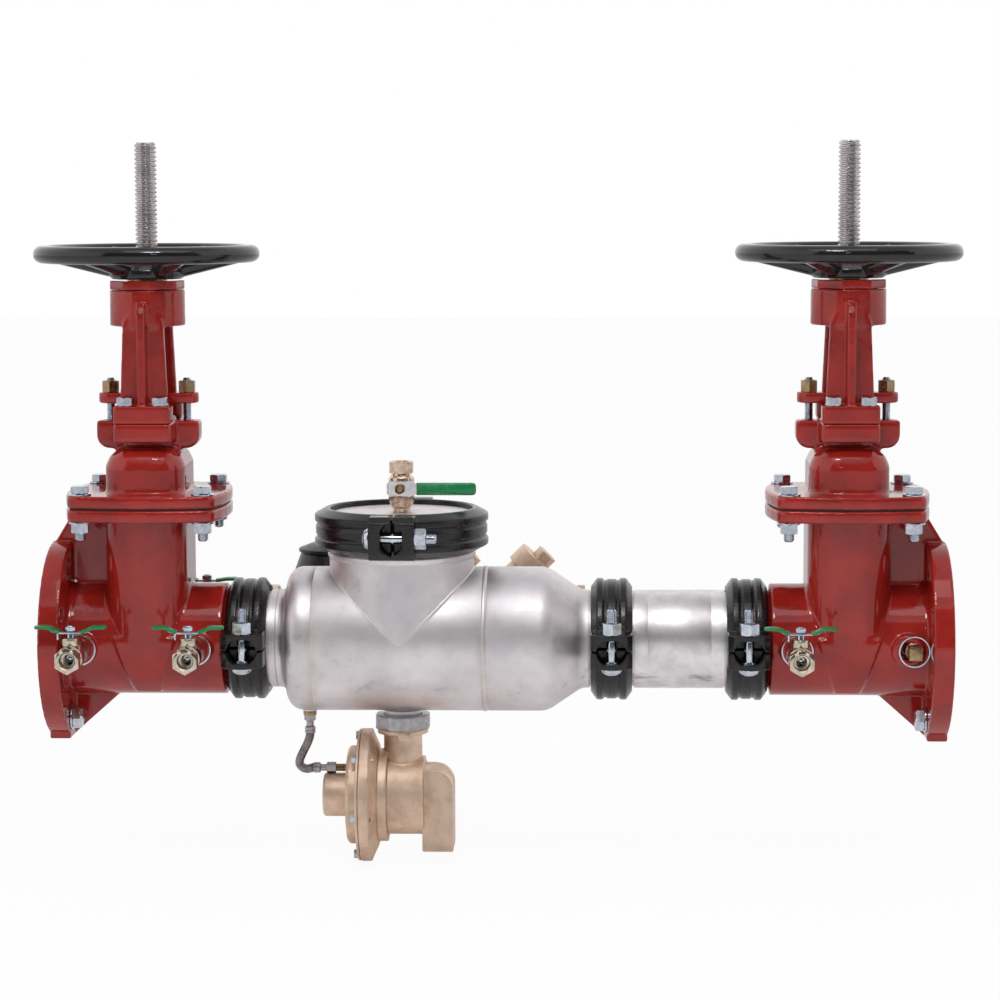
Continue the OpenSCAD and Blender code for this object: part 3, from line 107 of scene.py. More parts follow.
# Turns that bring a shape drawn along Z to another axis
ALONG = {
    "Z": Matrix.Identity(4),
    "-Z": Matrix.Rotation(math.pi, 4, "X"),
    "X": Matrix.Rotation(math.pi / 2, 4, "Y"),
    "-X": Matrix.Rotation(-math.pi / 2, 4, "Y"),
    "-Y": Matrix.Rotation(math.pi / 2, 4, "X"),
    "Y": Matrix.Rotation(-math.pi / 2, 4, "X"),
}


# Camera

CAMERA_AT = (0.65057, -3.42484, 0.53035)
CAMERA_TURN = (-2.1305, -6.1257, -0.1828)
CAMERA_LENS = 106.734


def set_camera():
    """Camera of the photograph, from its place in metres and its yaw, pitch and roll in degrees."""
    yaw, pitch, roll = (math.radians(angle) for angle in CAMERA_TURN)
    forward = Vector((math.sin(yaw) * math.cos(pitch), math.cos(yaw) * math.cos(pitch), math.sin(pitch)))
    right = Vector((math.cos(yaw), -math.sin(yaw), 0))
    up = right.cross(forward)
    side = right * math.cos(roll) + up * math.sin(roll)
    top = up * math.cos(roll) - right * math.sin(roll)
    data = bpy.data.cameras.new("photo_camera")
    data.sensor_width = 36
    data.lens = CAMERA_LENS
    data.clip_end = 60
    camera = bpy.data.objects.new("photo_camera", data)
    turn = Matrix((side, top, -forward)).transposed().to_4x4()
    camera.matrix_world = Matrix.Translation(CAMERA_AT) @ turn
    bpy.context.scene.collection.objects.link(camera)
    bpy.context.scene.camera = camera


set_camera()


# Finishes

class Signal:
    """Output of a shader node; arithmetic on it adds Math nodes, so a pattern reads as a formula."""

    def __init__(self, tree, socket):
        self.tree, self.socket = tree, socket

    def maths(self, operation, first, second=0.0):
        return self.tree.node("ShaderNodeMath", {"operation": operation}, {0: first, 1: second})

    def __add__(self, other): return self.maths("ADD", self, other)
    def __radd__(self, other): return self.maths("ADD", other, self)
    def __sub__(self, other): return self.maths("SUBTRACT", self, other)
    def __rsub__(self, other): return self.maths("SUBTRACT", other, self)
    def __mul__(self, other): return self.maths("MULTIPLY", self, other)
    def __rmul__(self, other): return self.maths("MULTIPLY", other, self)
    def __abs__(self): return self.maths("ABSOLUTE", self)

    def ramp(self, low, high, start=0.0, end=1.0):
        """Goes smoothly from start, where the signal is low, to end, where it is high."""
        return self.tree.node("ShaderNodeMapRange", {"interpolation_type": "SMOOTHSTEP"}, {
            "Value": self, "From Min": low, "From Max": high, "To Min": start, "To Max": end})


class Nodes:
    """A node tree that patterns are written into."""

    def __init__(self, tree):
        self.nodes, self.links = tree.nodes, tree.links

    def feed(self, socket, value):
        """Gives a socket a value, or links a signal to it."""
        if isinstance(value, Signal):
            self.links.new(value.socket, socket)
        else:
            socket.default_value = value

    def node(self, kind, settings=None, sockets=None, output=0):
        """New node of a kind with its settings and sockets; returns one of its outputs."""
        node = self.nodes.new(kind)
        for name, value in (settings or {}).items():
            setattr(node, name, value)
        for name, value in (sockets or {}).items():
            self.feed(node.inputs[name], value)
        return Signal(self, node.outputs[output])

    def along(self, place, axis):
        """The X, Y or Z of a place."""
        return self.node("ShaderNodeSeparateXYZ", sockets={0: place}, output=axis)


class Finish(Nodes):
    """One material around a Principled shader."""

    def __init__(self, name, **shader):
        self.material = bpy.data.materials.new(name)
        self.material.use_nodes = True
        super().__init__(self.material.node_tree)
        self.shader = self.nodes["Principled BSDF"]
        self.place = self.node("ShaderNodeTexCoord", output="Object")
        for socket, value in shader.items():
            self.feed(self.shader.inputs[socket.replace("_", " ")], value)

    def noise(self, scale, detail, rough=0.55, stretch=(1.0, 1.0, 1.0)):
        """Cloudy pattern from 0 to 1; scale is in cells a metre, stretch squeezes it along each axis."""
        where = self.node("ShaderNodeVectorMath", {"operation": "MULTIPLY"}, {0: self.place, 1: stretch})
        return self.node("ShaderNodeTexNoise", sockets={
            "Vector": where, "Scale": scale, "Detail": detail, "Roughness": rough})

    def edges(self):
        """Bright on outer edges and dark in the corners, from the shape itself."""
        return self.node("ShaderNodeNewGeometry", output="Pointiness")

    def mixed(self, factor, first, second):
        """Colour from first, at a factor of 0, to second, at 1."""
        return self.node("ShaderNodeMix", {"data_type": "RGBA"}, {0: factor, 6: first, 7: second}, 2)

    def colour(self, value):
        self.feed(self.shader.inputs["Base Color"], value)

    def roughness(self, value):
        self.feed(self.shader.inputs["Roughness"], value)

    def bump(self, height, depth):
        """Raises the surface by depth millimetres times height."""
        normal = self.node("ShaderNodeBump", sockets={"Height": height, "Distance": depth * MM})
        self.feed(self.shader.inputs["Normal"], normal)


def rgb(r, g, b):
    """Opaque colour."""
    return (r, g, b, 1.0)


def enamel(name, base, deep, worn, lump_depth):
    """Wet gloss paint over a sand casting: low lumps, sand grain, orange peel, thin paint on the edges."""
    f = Finish(name, IOR=1.53)
    lumps, grain, peel = f.noise(120, 3.0), f.noise(520, 2.5, 0.6), f.noise(1500, 1.5)
    painted = f.mixed(f.noise(26, 4.0).ramp(0.35, 0.68), base, deep)
    f.colour(f.mixed(f.edges().ramp(0.53, 0.62, 0.0, 0.35), painted, worn))
    f.roughness(f.noise(90, 3.0).ramp(0.3, 0.75, 0.03, 0.08))
    f.bump(lumps * 0.7 + grain * 0.24 + peel * 0.06, lump_depth)
    return f.material


def coupling_paint():
    """Thin black dip paint on ductile iron, greyer on the edges."""
    f = Finish("coupling_paint", IOR=1.48)
    f.colour(f.mixed(f.edges().ramp(0.52, 0.62), rgb(0.008, 0.008, 0.009), rgb(0.03, 0.03, 0.034)))
    f.roughness(f.noise(220, 3.0).ramp(0.3, 0.7, 0.14, 0.3))
    f.bump(f.noise(300, 3.5, 0.65) * 0.8 + f.noise(1500, 2.0) * 0.2, 0.2)
    return f.material


def satin_stainless():
    """Bead blasted and pickled stainless: clouds, handling smudges, straw tint beside the welds."""
    f = Finish("satin_stainless", Metallic=1.0)
    cloud = f.noise(17, 5.0, 0.6)
    streak = f.noise(50, 4.0, 0.6, (1.0, 5.0, 5.0))
    smudge = f.noise(34, 5.0, 0.62).ramp(0.57, 0.72) * f.noise(9, 2.0).ramp(0.4, 0.6)
    x, z = f.along(f.place, "X"), f.along(f.place, "Z")
    seam = abs(x - SEAMS[0] * MM).ramp(0.010, 0.002) + abs(x - SEAMS[1] * MM).ramp(0.010, 0.002)
    tint = seam * f.noise(45, 3.0).ramp(0.35, 0.65) * z.ramp(0.084, 0.03, 0.35, 1.0)
    base = f.mixed(cloud.ramp(0.3, 0.7), rgb(0.86, 0.82, 0.83), rgb(0.70, 0.665, 0.68))
    base = f.mixed(smudge * 0.6, base, rgb(0.42, 0.39, 0.4))
    f.colour(f.mixed(tint * 0.3, base, rgb(0.62, 0.5, 0.38)))
    f.roughness((cloud * 0.5 + streak * 0.5).ramp(0.3, 0.7, 0.42, 0.54))
    f.bump(f.noise(1400, 2.0) * 0.6 + streak * 0.4, 0.04)
    return f.material


def mill_pipe():
    """Spool pipe as it left the mill: brushed round and round, blotched, and darker in patches towards its
    bottom.
    """
    f = Finish("mill_pipe", Metallic=1.0)
    blotch = f.noise(42, 5.0, 0.65)
    brushed = f.noise(90, 4.0, 0.6, (9.0, 1.0, 1.0))
    underside = f.along(f.place, "Z").ramp(-0.028, -0.042)
    # Dark patches, only on the lower side of the pipe
    dirt = f.noise(60, 5.0, 0.6, (0.35, 1.0, 1.4)).ramp(0.55, 0.68) * underside
    base = f.mixed(blotch.ramp(0.3, 0.7), rgb(0.9, 0.87, 0.87), rgb(0.72, 0.69, 0.695))
    f.colour(f.mixed(dirt * 0.7, base, rgb(0.2, 0.18, 0.17)))
    f.roughness((blotch * 0.6 + brushed * 0.4).ramp(0.3, 0.7, 0.34, 0.48))
    f.bump(brushed, 0.05)
    return f.material


def bright_steel():
    """Polished bar of the stems, faintly clouded."""
    f = Finish("bright_steel", Metallic=1.0)
    f.colour(f.mixed(f.noise(60, 4.0).ramp(0.3, 0.7), rgb(0.62, 0.59, 0.59), rgb(0.46, 0.435, 0.44)))
    f.roughness(f.noise(120, 3.0).ramp(0.3, 0.7, 0.2, 0.34))
    f.bump(f.noise(260, 2.0), 0.01)
    return f.material


def sand_cast_bronze():
    """Bronze as it comes from the sand: grainy, dull, brown in the corners."""
    f = Finish("sand_cast_bronze", Metallic=1.0)
    sand, lumps, age = f.noise(900, 3.0, 0.65), f.noise(170, 3.0), f.noise(38, 4.0, 0.6)
    cast = f.mixed(age.ramp(0.35, 0.7), rgb(0.85, 0.65, 0.505), rgb(0.66, 0.495, 0.375))
    f.colour(f.mixed(f.edges().ramp(0.49, 0.44), cast, rgb(0.3, 0.19, 0.12)))
    f.roughness(age.ramp(0.3, 0.75, 0.46, 0.58))
    f.bump(sand * 0.7 + lumps * 0.3, 0.45)
    return f.material


def plated(name, bright, dull, smooth, rough, grain):
    """Zinc or nickel plate: cloudy tone and small pits."""
    f = Finish(name, Metallic=1.0)
    f.colour(f.mixed(f.noise(160, 4.0).ramp(0.3, 0.7), bright, dull))
    f.roughness(f.noise(240, 3.0).ramp(0.3, 0.75, smooth, rough))
    f.bump(f.noise(1100, 3.0, 0.6), grain)
    return f.material


def turned_brass():
    """Bar brass, turned and a little tarnished."""
    f = Finish("turned_brass", Metallic=1.0)
    f.colour(f.mixed(f.noise(120, 4.0).ramp(0.3, 0.7), rgb(0.48, 0.34, 0.19), rgb(0.32, 0.22, 0.12)))
    f.roughness(f.noise(260, 3.0).ramp(0.3, 0.7, 0.22, 0.42))
    f.bump(f.noise(1000, 2.0), 0.06)
    return f.material


def dipped_vinyl():
    """Green plastic that the handles are dipped in."""
    f = Finish("dipped_vinyl", IOR=1.52)
    f.colour(f.mixed(f.noise(90, 3.0).ramp(0.3, 0.7), rgb(0.012, 0.22, 0.075), rgb(0.009, 0.2, 0.062)))
    f.roughness(f.noise(200, 2.0).ramp(0.3, 0.7, 0.16, 0.3))
    f.bump(f.noise(330, 2.0), 0.12)
    return f.material


def moulded(name, base, smooth, rough, grain):
    """Moulded rubber or plastic with a fine grain."""
    f = Finish(name, IOR=1.48)
    f.colour(f.mixed(f.noise(70, 4.0).ramp(0.3, 0.7), rgb(*base), rgb(*(c * 0.7 for c in base))))
    f.roughness(f.noise(180, 3.0).ramp(0.3, 0.7, smooth, rough))
    f.bump(f.noise(1300, 3.0, 0.65), grain)
    return f.material


MATERIALS = {
    "red_paint": enamel(
        "red_enamel", rgb(0.36, 0.019, 0.013), rgb(0.27, 0.014, 0.01), rgb(0.42, 0.04, 0.03), 0.16),
    "black_enamel": enamel(
        "black_enamel", rgb(0.009, 0.009, 0.01), rgb(0.012, 0.012, 0.014), rgb(0.03, 0.03, 0.032), 0.22),
    "coupling_black": coupling_paint(),
    "stainless": satin_stainless(),
    "polished_steel": bright_steel(),
    "cast_bronze": sand_cast_bronze(),
    "machined_brass": turned_brass(),
    "zinc_plate": plated("zinc_plate", rgb(0.66, 0.71, 0.78), rgb(0.48, 0.52, 0.59), 0.07, 0.18, 0.03),
    "nickel_plate": plated("nickel_plate", rgb(0.74, 0.65, 0.53), rgb(0.52, 0.44, 0.35), 0.1, 0.22, 0.04),
    "green_vinyl": dipped_vinyl(),
    "gate_rubber": moulded("gate_rubber", (0.022, 0.022, 0.023), 0.5, 0.68, 0.15),
    "hose_braid": plated("hose_braid", rgb(0.36, 0.335, 0.34), rgb(0.2, 0.185, 0.19), 0.28, 0.45, 0.05),
    "black_plastic": moulded("register_plastic", (0.018, 0.017, 0.02), 0.25, 0.4, 0.08),
}
SPOOL_FINISH = mill_pipe()
CHROME = plated("chrome_strap", rgb(0.8, 0.79, 0.8), rgb(0.62, 0.61, 0.62), 0.05, 0.14, 0.02)
UNION_FINISH = plated("union_plate", rgb(0.52, 0.5, 0.51), rgb(0.38, 0.365, 0.375), 0.3, 0.42, 0.1)


# Shapes

def sweep(first, last, steps):
    """Angles in radians from first to last degrees."""
    return [math.radians(first + (last - first) * k / steps) for k in range(steps + 1)]


def rounded(corners, radius, steps):
    """The outline with every corner turned into a small arc; a corner may carry its own radius."""
    points = []
    count = len(corners)
    for i, corner in enumerate(corners):
        here = Vector(corner[:2])
        r = corner[2] if len(corner) > 2 else radius
        before = Vector(corners[i - 1][:2]) - here
        after = Vector(corners[(i + 1) % count][:2]) - here
        reach = min(r, 0.45 * before.length, 0.45 * after.length)
        if reach <= 0:
            points.append(tuple(here))
            continue
        first, last = here + before.normalized() * reach, here + after.normalized() * reach
        for k in range(steps + 1):
            t = k / steps
            points.append(tuple(first * (1 - t) ** 2 + here * (2 * t * (1 - t)) + last * t ** 2))
    return points


def moved(bm, at=(0, 0, 0), along="Z"):
    """Turns a shape drawn along Z to another axis and moves it into place."""
    bmesh.ops.transform(bm, matrix=Matrix.Translation(at) @ ALONG[along], verts=bm.verts)
    return bm


def spun(bm, at, axis, degrees):
    """Turns a shape about an axis through the origin, then moves it."""
    matrix = Matrix.Translation(at) @ Matrix.Rotation(math.radians(degrees), 4, axis)
    bmesh.ops.transform(bm, matrix=matrix, verts=bm.verts)
    return bm


def turned(outline, around):
    """Solid of revolution about Z from (radius, height) points, or from a function of the angle."""
    bm = bmesh.new()
    rings = []
    for k in range(around):
        angle = 2 * math.pi * k / around
        points = outline(angle) if callable(outline) else outline
        c, s = math.cos(angle), math.sin(angle)
        rings.append([bm.verts.new((r * c, r * s, h)) for r, h in points])
    count = len(rings[0])
    for k in range(around):
        one, two = rings[k], rings[(k + 1) % around]
        for i in range(count):
            j = (i + 1) % count
            bm.faces.new((one[i], two[i], two[j], one[j]))
    bmesh.ops.remove_doubles(bm, verts=bm.verts, dist=1e-4)
    bmesh.ops.recalc_face_normals(bm, faces=bm.faces)
    return bm


def hex_radius(angle, flats):
    """Distance from the centre to the side of a hexagon at an angle."""
    sixth = math.pi / 3
    return flats / 2 / math.cos((angle + sixth / 2) % sixth - sixth / 2)


def hexagon(flats, low, high, bore=0.0, crowns=(True, True)):
    """Hexagon with its corners turned off at 30 degrees; with a bore it is a nut, threaded inside."""
    face = flats * 0.485
    pitch, depth, mouth = 1.4, 0.55, 1.0

    def section(angle):
        corner = hex_radius(angle, flats)
        drop = (corner - face) * math.tan(math.radians(30))
        low_drop, high_drop = (drop if crown else 0.0 for crown in crowns)
        points = [(face if crowns[0] else corner - 0.2, low), (corner, low + low_drop + 0.05),
                  (corner, high - high_drop - 0.05), (face if crowns[1] else corner - 0.2, high)]
        if not bore:
            return points + [(0, high), (0, low)]
        points += [(bore + mouth, high), (bore, high - mouth)]
        for k in range(int((high - low - 2.5) / pitch)):
            z = high - mouth - pitch * k
            points += [(bore + depth, z - pitch / 2), (bore, z - pitch)]
        return points + [(bore, low + 0.7), (bore + 0.7, low)]

    return turned(section, 48)


def threaded(radius, pitch, depth, low, high, hand=1, around=32, chamfer=(0.8, 0.8), profile=None):
    """Bar with a true helical thread; hand -1 is left handed. The rows of the mesh follow the crest."""
    profile = profile or (0.0, 0.0, 0.5, 1.0, 1.0, 0.5)
    rows = len(profile)
    bm = bmesh.new()
    turns = int((high - low) / pitch) + 3
    grid = []
    for i in range(turns * rows):
        line = []
        for k in range(around):
            z = low - 1.5 * pitch + (i / rows + hand * k / around) * pitch
            z = min(max(z, low), high)
            r = radius - depth * profile[i % rows]
            r = min(r, radius - chamfer[0] - depth + (z - low), radius - chamfer[1] - depth + (high - z))
            angle = 2 * math.pi * k / around
            line.append(bm.verts.new((r * math.cos(angle), r * math.sin(angle), z)))
        grid.append(line)
    for i in range(len(grid) - 1):
        for k in range(around):
            shift = hand * rows if k == around - 1 else 0
            if 0 <= i + shift and i + 1 + shift < len(grid):
                n = (k + 1) % around
                bm.faces.new((grid[i][k], grid[i + shift][n], grid[i + 1 + shift][n], grid[i + 1][k]))
    bmesh.ops.remove_doubles(bm, verts=bm.verts, dist=1e-3)
    loose = [v for v in bm.verts if not v.link_faces]
    bmesh.ops.delete(bm, geom=loose, context="VERTS")
    bmesh.ops.holes_fill(bm, edges=[e for e in bm.edges if e.is_boundary], sides=0)
    bmesh.ops.recalc_face_normals(bm, faces=bm.faces)
    return bm


def loft(stations, around=24, power=2.0):
    """Skin over oval sections; a station is (centre, side, up, half width, half height)."""
    bm = bmesh.new()
    rings = []
    for centre, side, up, wide, high in stations:
        ring = []
        for k in range(around):
            angle = 2 * math.pi * k / around
            c, s = math.cos(angle), math.sin(angle)
            across = math.copysign(abs(c) ** (2 / power), c) * wide
            above = math.copysign(abs(s) ** (2 / power), s) * high
            ring.append(bm.verts.new(Vector(centre) + Vector(side) * across + Vector(up) * above))
        rings.append(ring)
    for one, two in zip(rings, rings[1:]):
        for k in range(around):
            n = (k + 1) % around
            bm.faces.new((one[k], one[n], two[n], two[k]))
    bm.faces.new(reversed(rings[0]))
    bm.faces.new(rings[-1])
    bmesh.ops.recalc_face_normals(bm, faces=bm.faces)
    return bm


def plate(outline, low, high, edge=0.4):
    """Flat plate from an outline, with its rims broken by a small chamfer."""
    bm = bmesh.new()
    count = len(outline)
    centre = sum((Vector(p) for p in outline), Vector((0, 0))) / count

    def ring(shrink, z):
        points = []
        for i, p in enumerate(outline):
            before, after = Vector(outline[i - 1]), Vector(outline[(i + 1) % count])
            run = (after - before).normalized()
            inward = Vector((-run.y, run.x))
            if inward.dot(centre - Vector(p)) < 0:
                inward = -inward
            points.append(bm.verts.new((*(Vector(p) + inward * shrink), z)))
        return points

    rings = [ring(edge, low), ring(0, low + edge), ring(0, high - edge), ring(edge, high)]
    for one, two in zip(rings, rings[1:]):
        for i in range(count):
            j = (i + 1) % count
            bm.faces.new((one[i], one[j], two[j], two[i]))
    bm.faces.new(reversed(rings[0]))
    bm.faces.new(rings[-1])
    bmesh.ops.recalc_face_normals(bm, faces=bm.faces)
    return bm


def merged(*shapes):
    """Several shapes as one, left as separate shells."""
    bm = bmesh.new()
    for shape in shapes:
        mesh = bpy.data.meshes.new("shape")
        shape.to_mesh(mesh)
        shape.free()
        bm.from_mesh(mesh)
        bpy.data.meshes.remove(mesh)
    return bm


def copies(make, places):
    """One shape from make() at each place."""
    return merged(*(moved(make(), at) for at in places))


def smooth_route(route, steps):
    """Catmull-Rom points through the route."""
    points = []
    for i in range(len(route) - 1):
        p0, p1 = Vector(route[max(i - 1, 0)]), Vector(route[i])
        p2, p3 = Vector(route[i + 1]), Vector(route[min(i + 2, len(route) - 1)])
        for k in range(steps):
            t = k / steps
            points.append(0.5 * (2 * p1 + (p2 - p0) * t + (2 * p0 - 5 * p1 + 4 * p2 - p3) * t * t
                                 + (3 * p1 - 3 * p2 + p3 - p0) * t ** 3))
    return points + [Vector(route[-1])]


# Pieces

def shade(mesh, angle):
    """Smooth faces, with a sharp edge wherever two of them meet at more than the angle."""
    for face in mesh.polygons:
        face.use_smooth = True
    mesh.set_sharp_from_angle(angle=math.radians(angle))


def dress(obj, slot, body, nodes, material=None):
    """Gives a piece its finish and the body it rides on, and hides the nodes it stands for."""
    obj.data.materials.clear()
    obj.data.materials.append(material or MATERIALS[slot])
    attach(obj, body)
    if nodes:
        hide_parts(*nodes)
    return obj


def piece(name, shape, slot, body, nodes=(), angle=32, material=None):
    """Makes a piece from a shape in millimetres."""
    mesh = bpy.data.meshes.new(name)
    bmesh.ops.transform(shape, matrix=Matrix.Scale(MM, 4), verts=shape.verts)
    shape.to_mesh(mesh)
    shape.free()
    shade(mesh, angle)
    obj = bpy.data.objects.new(name, mesh)
    bpy.context.scene.collection.objects.link(obj)
    return dress(obj, slot, body, nodes, material)


def casting(name, node, slot, body, grain, melt, keep, material=None):
    """Stands for a solid with the soft edges and filled corners of a sand casting.

    Grain is the size in millimetres of the steps that the surface is built from, melt is how far
    the edges run, and keep is the share of faces that stays.
    """
    obj = bpy.data.objects.new(name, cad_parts[node].data.copy())
    bpy.context.scene.collection.objects.link(obj)
    remesh = obj.modifiers.new("grid", "REMESH")
    remesh.mode = "VOXEL"
    remesh.voxel_size = grain * MM * 1.0
    smooth = obj.modifiers.new("melt", "SMOOTH")
    smooth.iterations = melt
    smooth.factor = 0.5
    thin = obj.modifiers.new("thin", "DECIMATE")
    thin.ratio = keep
    depsgraph = bpy.context.evaluated_depsgraph_get()
    mesh = bpy.data.meshes.new_from_object(obj.evaluated_get(depsgraph))
    obj.modifiers.clear()
    obj.data = mesh
    shade(mesh, 60)
    return dress(obj, slot, body, [node], material)


def washer(outer, inner, low, high):
    """Flat ring along Z between two heights, by its radii."""
    return turned(rounded([(inner, low), (outer, low), (outer, high), (inner, high)], 0.4, 2), 48)


def rod(radius, low, high, edge=0.3):
    """Plain round bar along Z with its edges broken."""
    return turned(rounded([(0, low), (radius, low), (radius, high), (0, high)], edge, 2), 40)


# Gate valves

def bonnet_bolt():
    """Hexagon head screw down through the joint, with two washers and a nut."""
    flats, washer_t, head, nut, tail = 19, 2.05, 8.5, 11, 20.2
    head_at, nut_top = JOINT_TOP + washer_t, JOINT_UNDER - washer_t
    return merged(
        washer(13, 6.6, JOINT_TOP, head_at), hexagon(flats, head_at, head_at + head),
        washer(13, 6.6, nut_top, JOINT_UNDER), hexagon(flats, nut_top - nut, nut_top, 6.3),
        threaded(6.2, 1.75, 0.9, nut_top - tail, JOINT_UNDER + 1.25, around=24, chamfer=(1.2, 0)))


def yoke_bolt():
    """Hexagon head screw down through a foot of the yoke."""
    head, reach = 9.9, 39.6
    return merged(hexagon(17.3, YOKE_FOOT_TOP, YOKE_FOOT_TOP + head),
                  rod(STUD_R, YOKE_FOOT_TOP - reach, YOKE_FOOT_TOP + 0.1))


def gland_stud():
    """Stud up through an ear of the gland, threaded all the way."""
    return threaded(STUD_R, 1.5, 0.8, GLAND_TOP - 58.5, GLAND_TOP + 17, around=24, chamfer=(0.8, 1.0))


def gland_nut():
    """Tall brass nut on an ear of the gland."""
    return hexagon(18, GLAND_TOP, GLAND_TOP + 13.5, STUD_R)


def stem():
    """Rising stem: foot, plain polished shank and a left handed square thread above it."""
    low, foot_top, thread_low, top = 168, 175, 402, 577
    foot_r, shank_r, thread_r, thread_depth = 17, 12.6, 12.7, 1.9
    shank = rounded([(0, low), (foot_r, low), (foot_r, foot_top), (shank_r, foot_top, 1.5),
                     (shank_r, thread_low), (0, thread_low)], 0.8, 3)
    square = (0.0, 0.0, 0.0, 0.25, 1.0, 1.0, 1.0, 0.25)
    thread = threaded(thread_r, STEM_PITCH, thread_depth, thread_low - 2, top, hand=-1, around=56,
                      chamfer=(0.3, 1.2), profile=square)
    return merged(turned(shank, 64), thread)


def flange_bolt():
    """Hexagon bolt and washer in a hole of the pipe flange, head on the valve side."""
    head_at = FLANGE_T + 2.5
    return merged(washer(15, 8.2, FLANGE_T, head_at), hexagon(24, head_at, head_at + 10.2),
                  rod(8, 0.4, head_at + 0.3))


def gate_valve(side):
    """Painted castings, wheel and stem of one valve."""
    body = "assembly"
    casting(side + "_valve_casting", side + "_valve_body", "red_paint", body, 1.7, 8, 0.3)
    casting(side + "_bonnet_casting", side + "_bonnet", "red_paint", body, 1.7, 14, 0.35)
    casting(side + "_yoke_casting", side + "_yoke", "red_paint", body, 1.4, 9, 0.4)
    casting(side + "_gland_casting", side + "_gland", "red_paint", body, 1.4, 9, 0.45)
    casting(side + "_yoke_cap_casting", side + "_yoke_cap", "red_paint", body, 1.1, 5, 0.4)
    casting(side + "_wheel_casting", side + "_handwheel", "black_enamel", side + "_wheel", 1.2, 3, 0.35)
    piece(side + "_threaded_stem", moved(stem(), (STEM_X[side], 0, 0)), "polished_steel", side + "_rod",
          [side + "_stem"])


def at_valves(places):
    """The same places on both valves, from their stem axes."""
    return [(x + px, py, 0) for x in STEM_X.values() for px, py in places]


def four(x, y):
    """The four corners at x and y on both sides of a centre."""
    return [(sx * x, sy * y) for sx in (-1, 1) for sy in (-1, 1)]


for side in STEM_X:
    gate_valve(side)
STUDS = at_valves([(-44.5, 0), (44.5, 0)])
piece("bonnet_bolting", copies(bonnet_bolt, at_valves(four(LID_BOLT, LID_BOLT))), "zinc_plate", "assembly",
      ["bonnet_bolts"])
piece("yoke_bolting", copies(yoke_bolt, at_valves(four(20.3, 51))), "zinc_plate", "assembly", ["yoke_bolts"])
piece("gland_rods", copies(gland_stud, STUDS), "zinc_plate", "assembly", ["gland_studs"])
piece("gland_nuts", copies(gland_nut, STUDS), "machined_brass", "assembly")
piece("flange_bolting", merged(*(
    moved(flange_bolt(), (x, FLANGE_BOLT_Y, FLANGE_BOLT_Z), way) for x, way in FLANGE_FACES)),
      "zinc_plate", "assembly")


# Grooved couplings

casting("pipe_coupling_tops", "coupling_uppers", "coupling_black", "assembly", 0.8, 2, 0.35)
casting("pipe_coupling_bottoms", "coupling_lowers", "coupling_black", "assembly", 0.8, 2, 0.35)
casting("cover_coupling_half_1", "cover_coupling_left", "coupling_black", "assembly", 0.9, 2, 0.35)
casting("cover_coupling_half_2", "cover_coupling_right", "coupling_black", "assembly", 0.9, 2, 0.35)


def track_bolt(head, nut, end, nut_turn):
    """Track bolt along Z: round head with an oval neck, threaded shank and a hexagon nut."""
    dome = turned(rounded([(0, head - 7.4), (6, head - 7.2), (10.5, head - 4.5), (12, head - 1), (12, head),
                           (0, head)], 1.5, 4), 48)
    neck = loft([((0, 0, head - 0.2), (1, 0, 0), (0, 1, 0), 8.6, 6.2),
                 ((0, 0, head + 8), (1, 0, 0), (0, 1, 0), 8.6, 6.2),
                 ((0, 0, head + 9), (1, 0, 0), (0, 1, 0), 6.0, 5.8)])
    return merged(dome, neck, rod(5.6, head, nut - 8),
                  spun(hexagon(20.6, nut, nut + 13.5, 5.8), (0, 0, 0), "Z", nut_turn),
                  threaded(5.8, 2.0, 0.95, nut - 9, end, around=28, chamfer=(0.2, 1.0)))


def coupling_bolting():
    """Two track bolts on every coupling, each a little off true as they are pulled up."""
    pipe_pad, pipe_reach, pipe_lean = 19.7, 89, 1
    cover_pad, cover_reach, cover_lean = 26, 110, -2
    shapes = [spun(moved(track_bolt(-pipe_pad, pipe_pad, 49, 8), (0, s * pipe_reach, 0)),
                   (x, 0, 0), "X", pipe_lean) for x in JOINTS_X for s in (-1, 1)]
    shapes += [spun(moved(track_bolt(-cover_pad, cover_pad, 51, 30), (0, s * cover_reach, 0), "X"),
                    (TEE_X, 0, COVER_COUPLING_Z), "Z", cover_lean) for s in (-1, 1)]
    return merged(*shapes)


piece("coupling_bolting", coupling_bolting(), "zinc_plate", "assembly", ["coupling_bolts"])


# Stainless body, spool and cover

def groove(start, radius):
    """Coupling groove that begins at start."""
    end, low = start + GROOVE_W, radius - GROOVE_DEPTH
    return [(radius, start), (low, start + 0.2), (low, end - 0.2), (radius, end)]


def score(at, radius, half, depth):
    """Fine line round a pipe."""
    return [(radius, at - half), (radius - depth, at), (radius, at + half)]


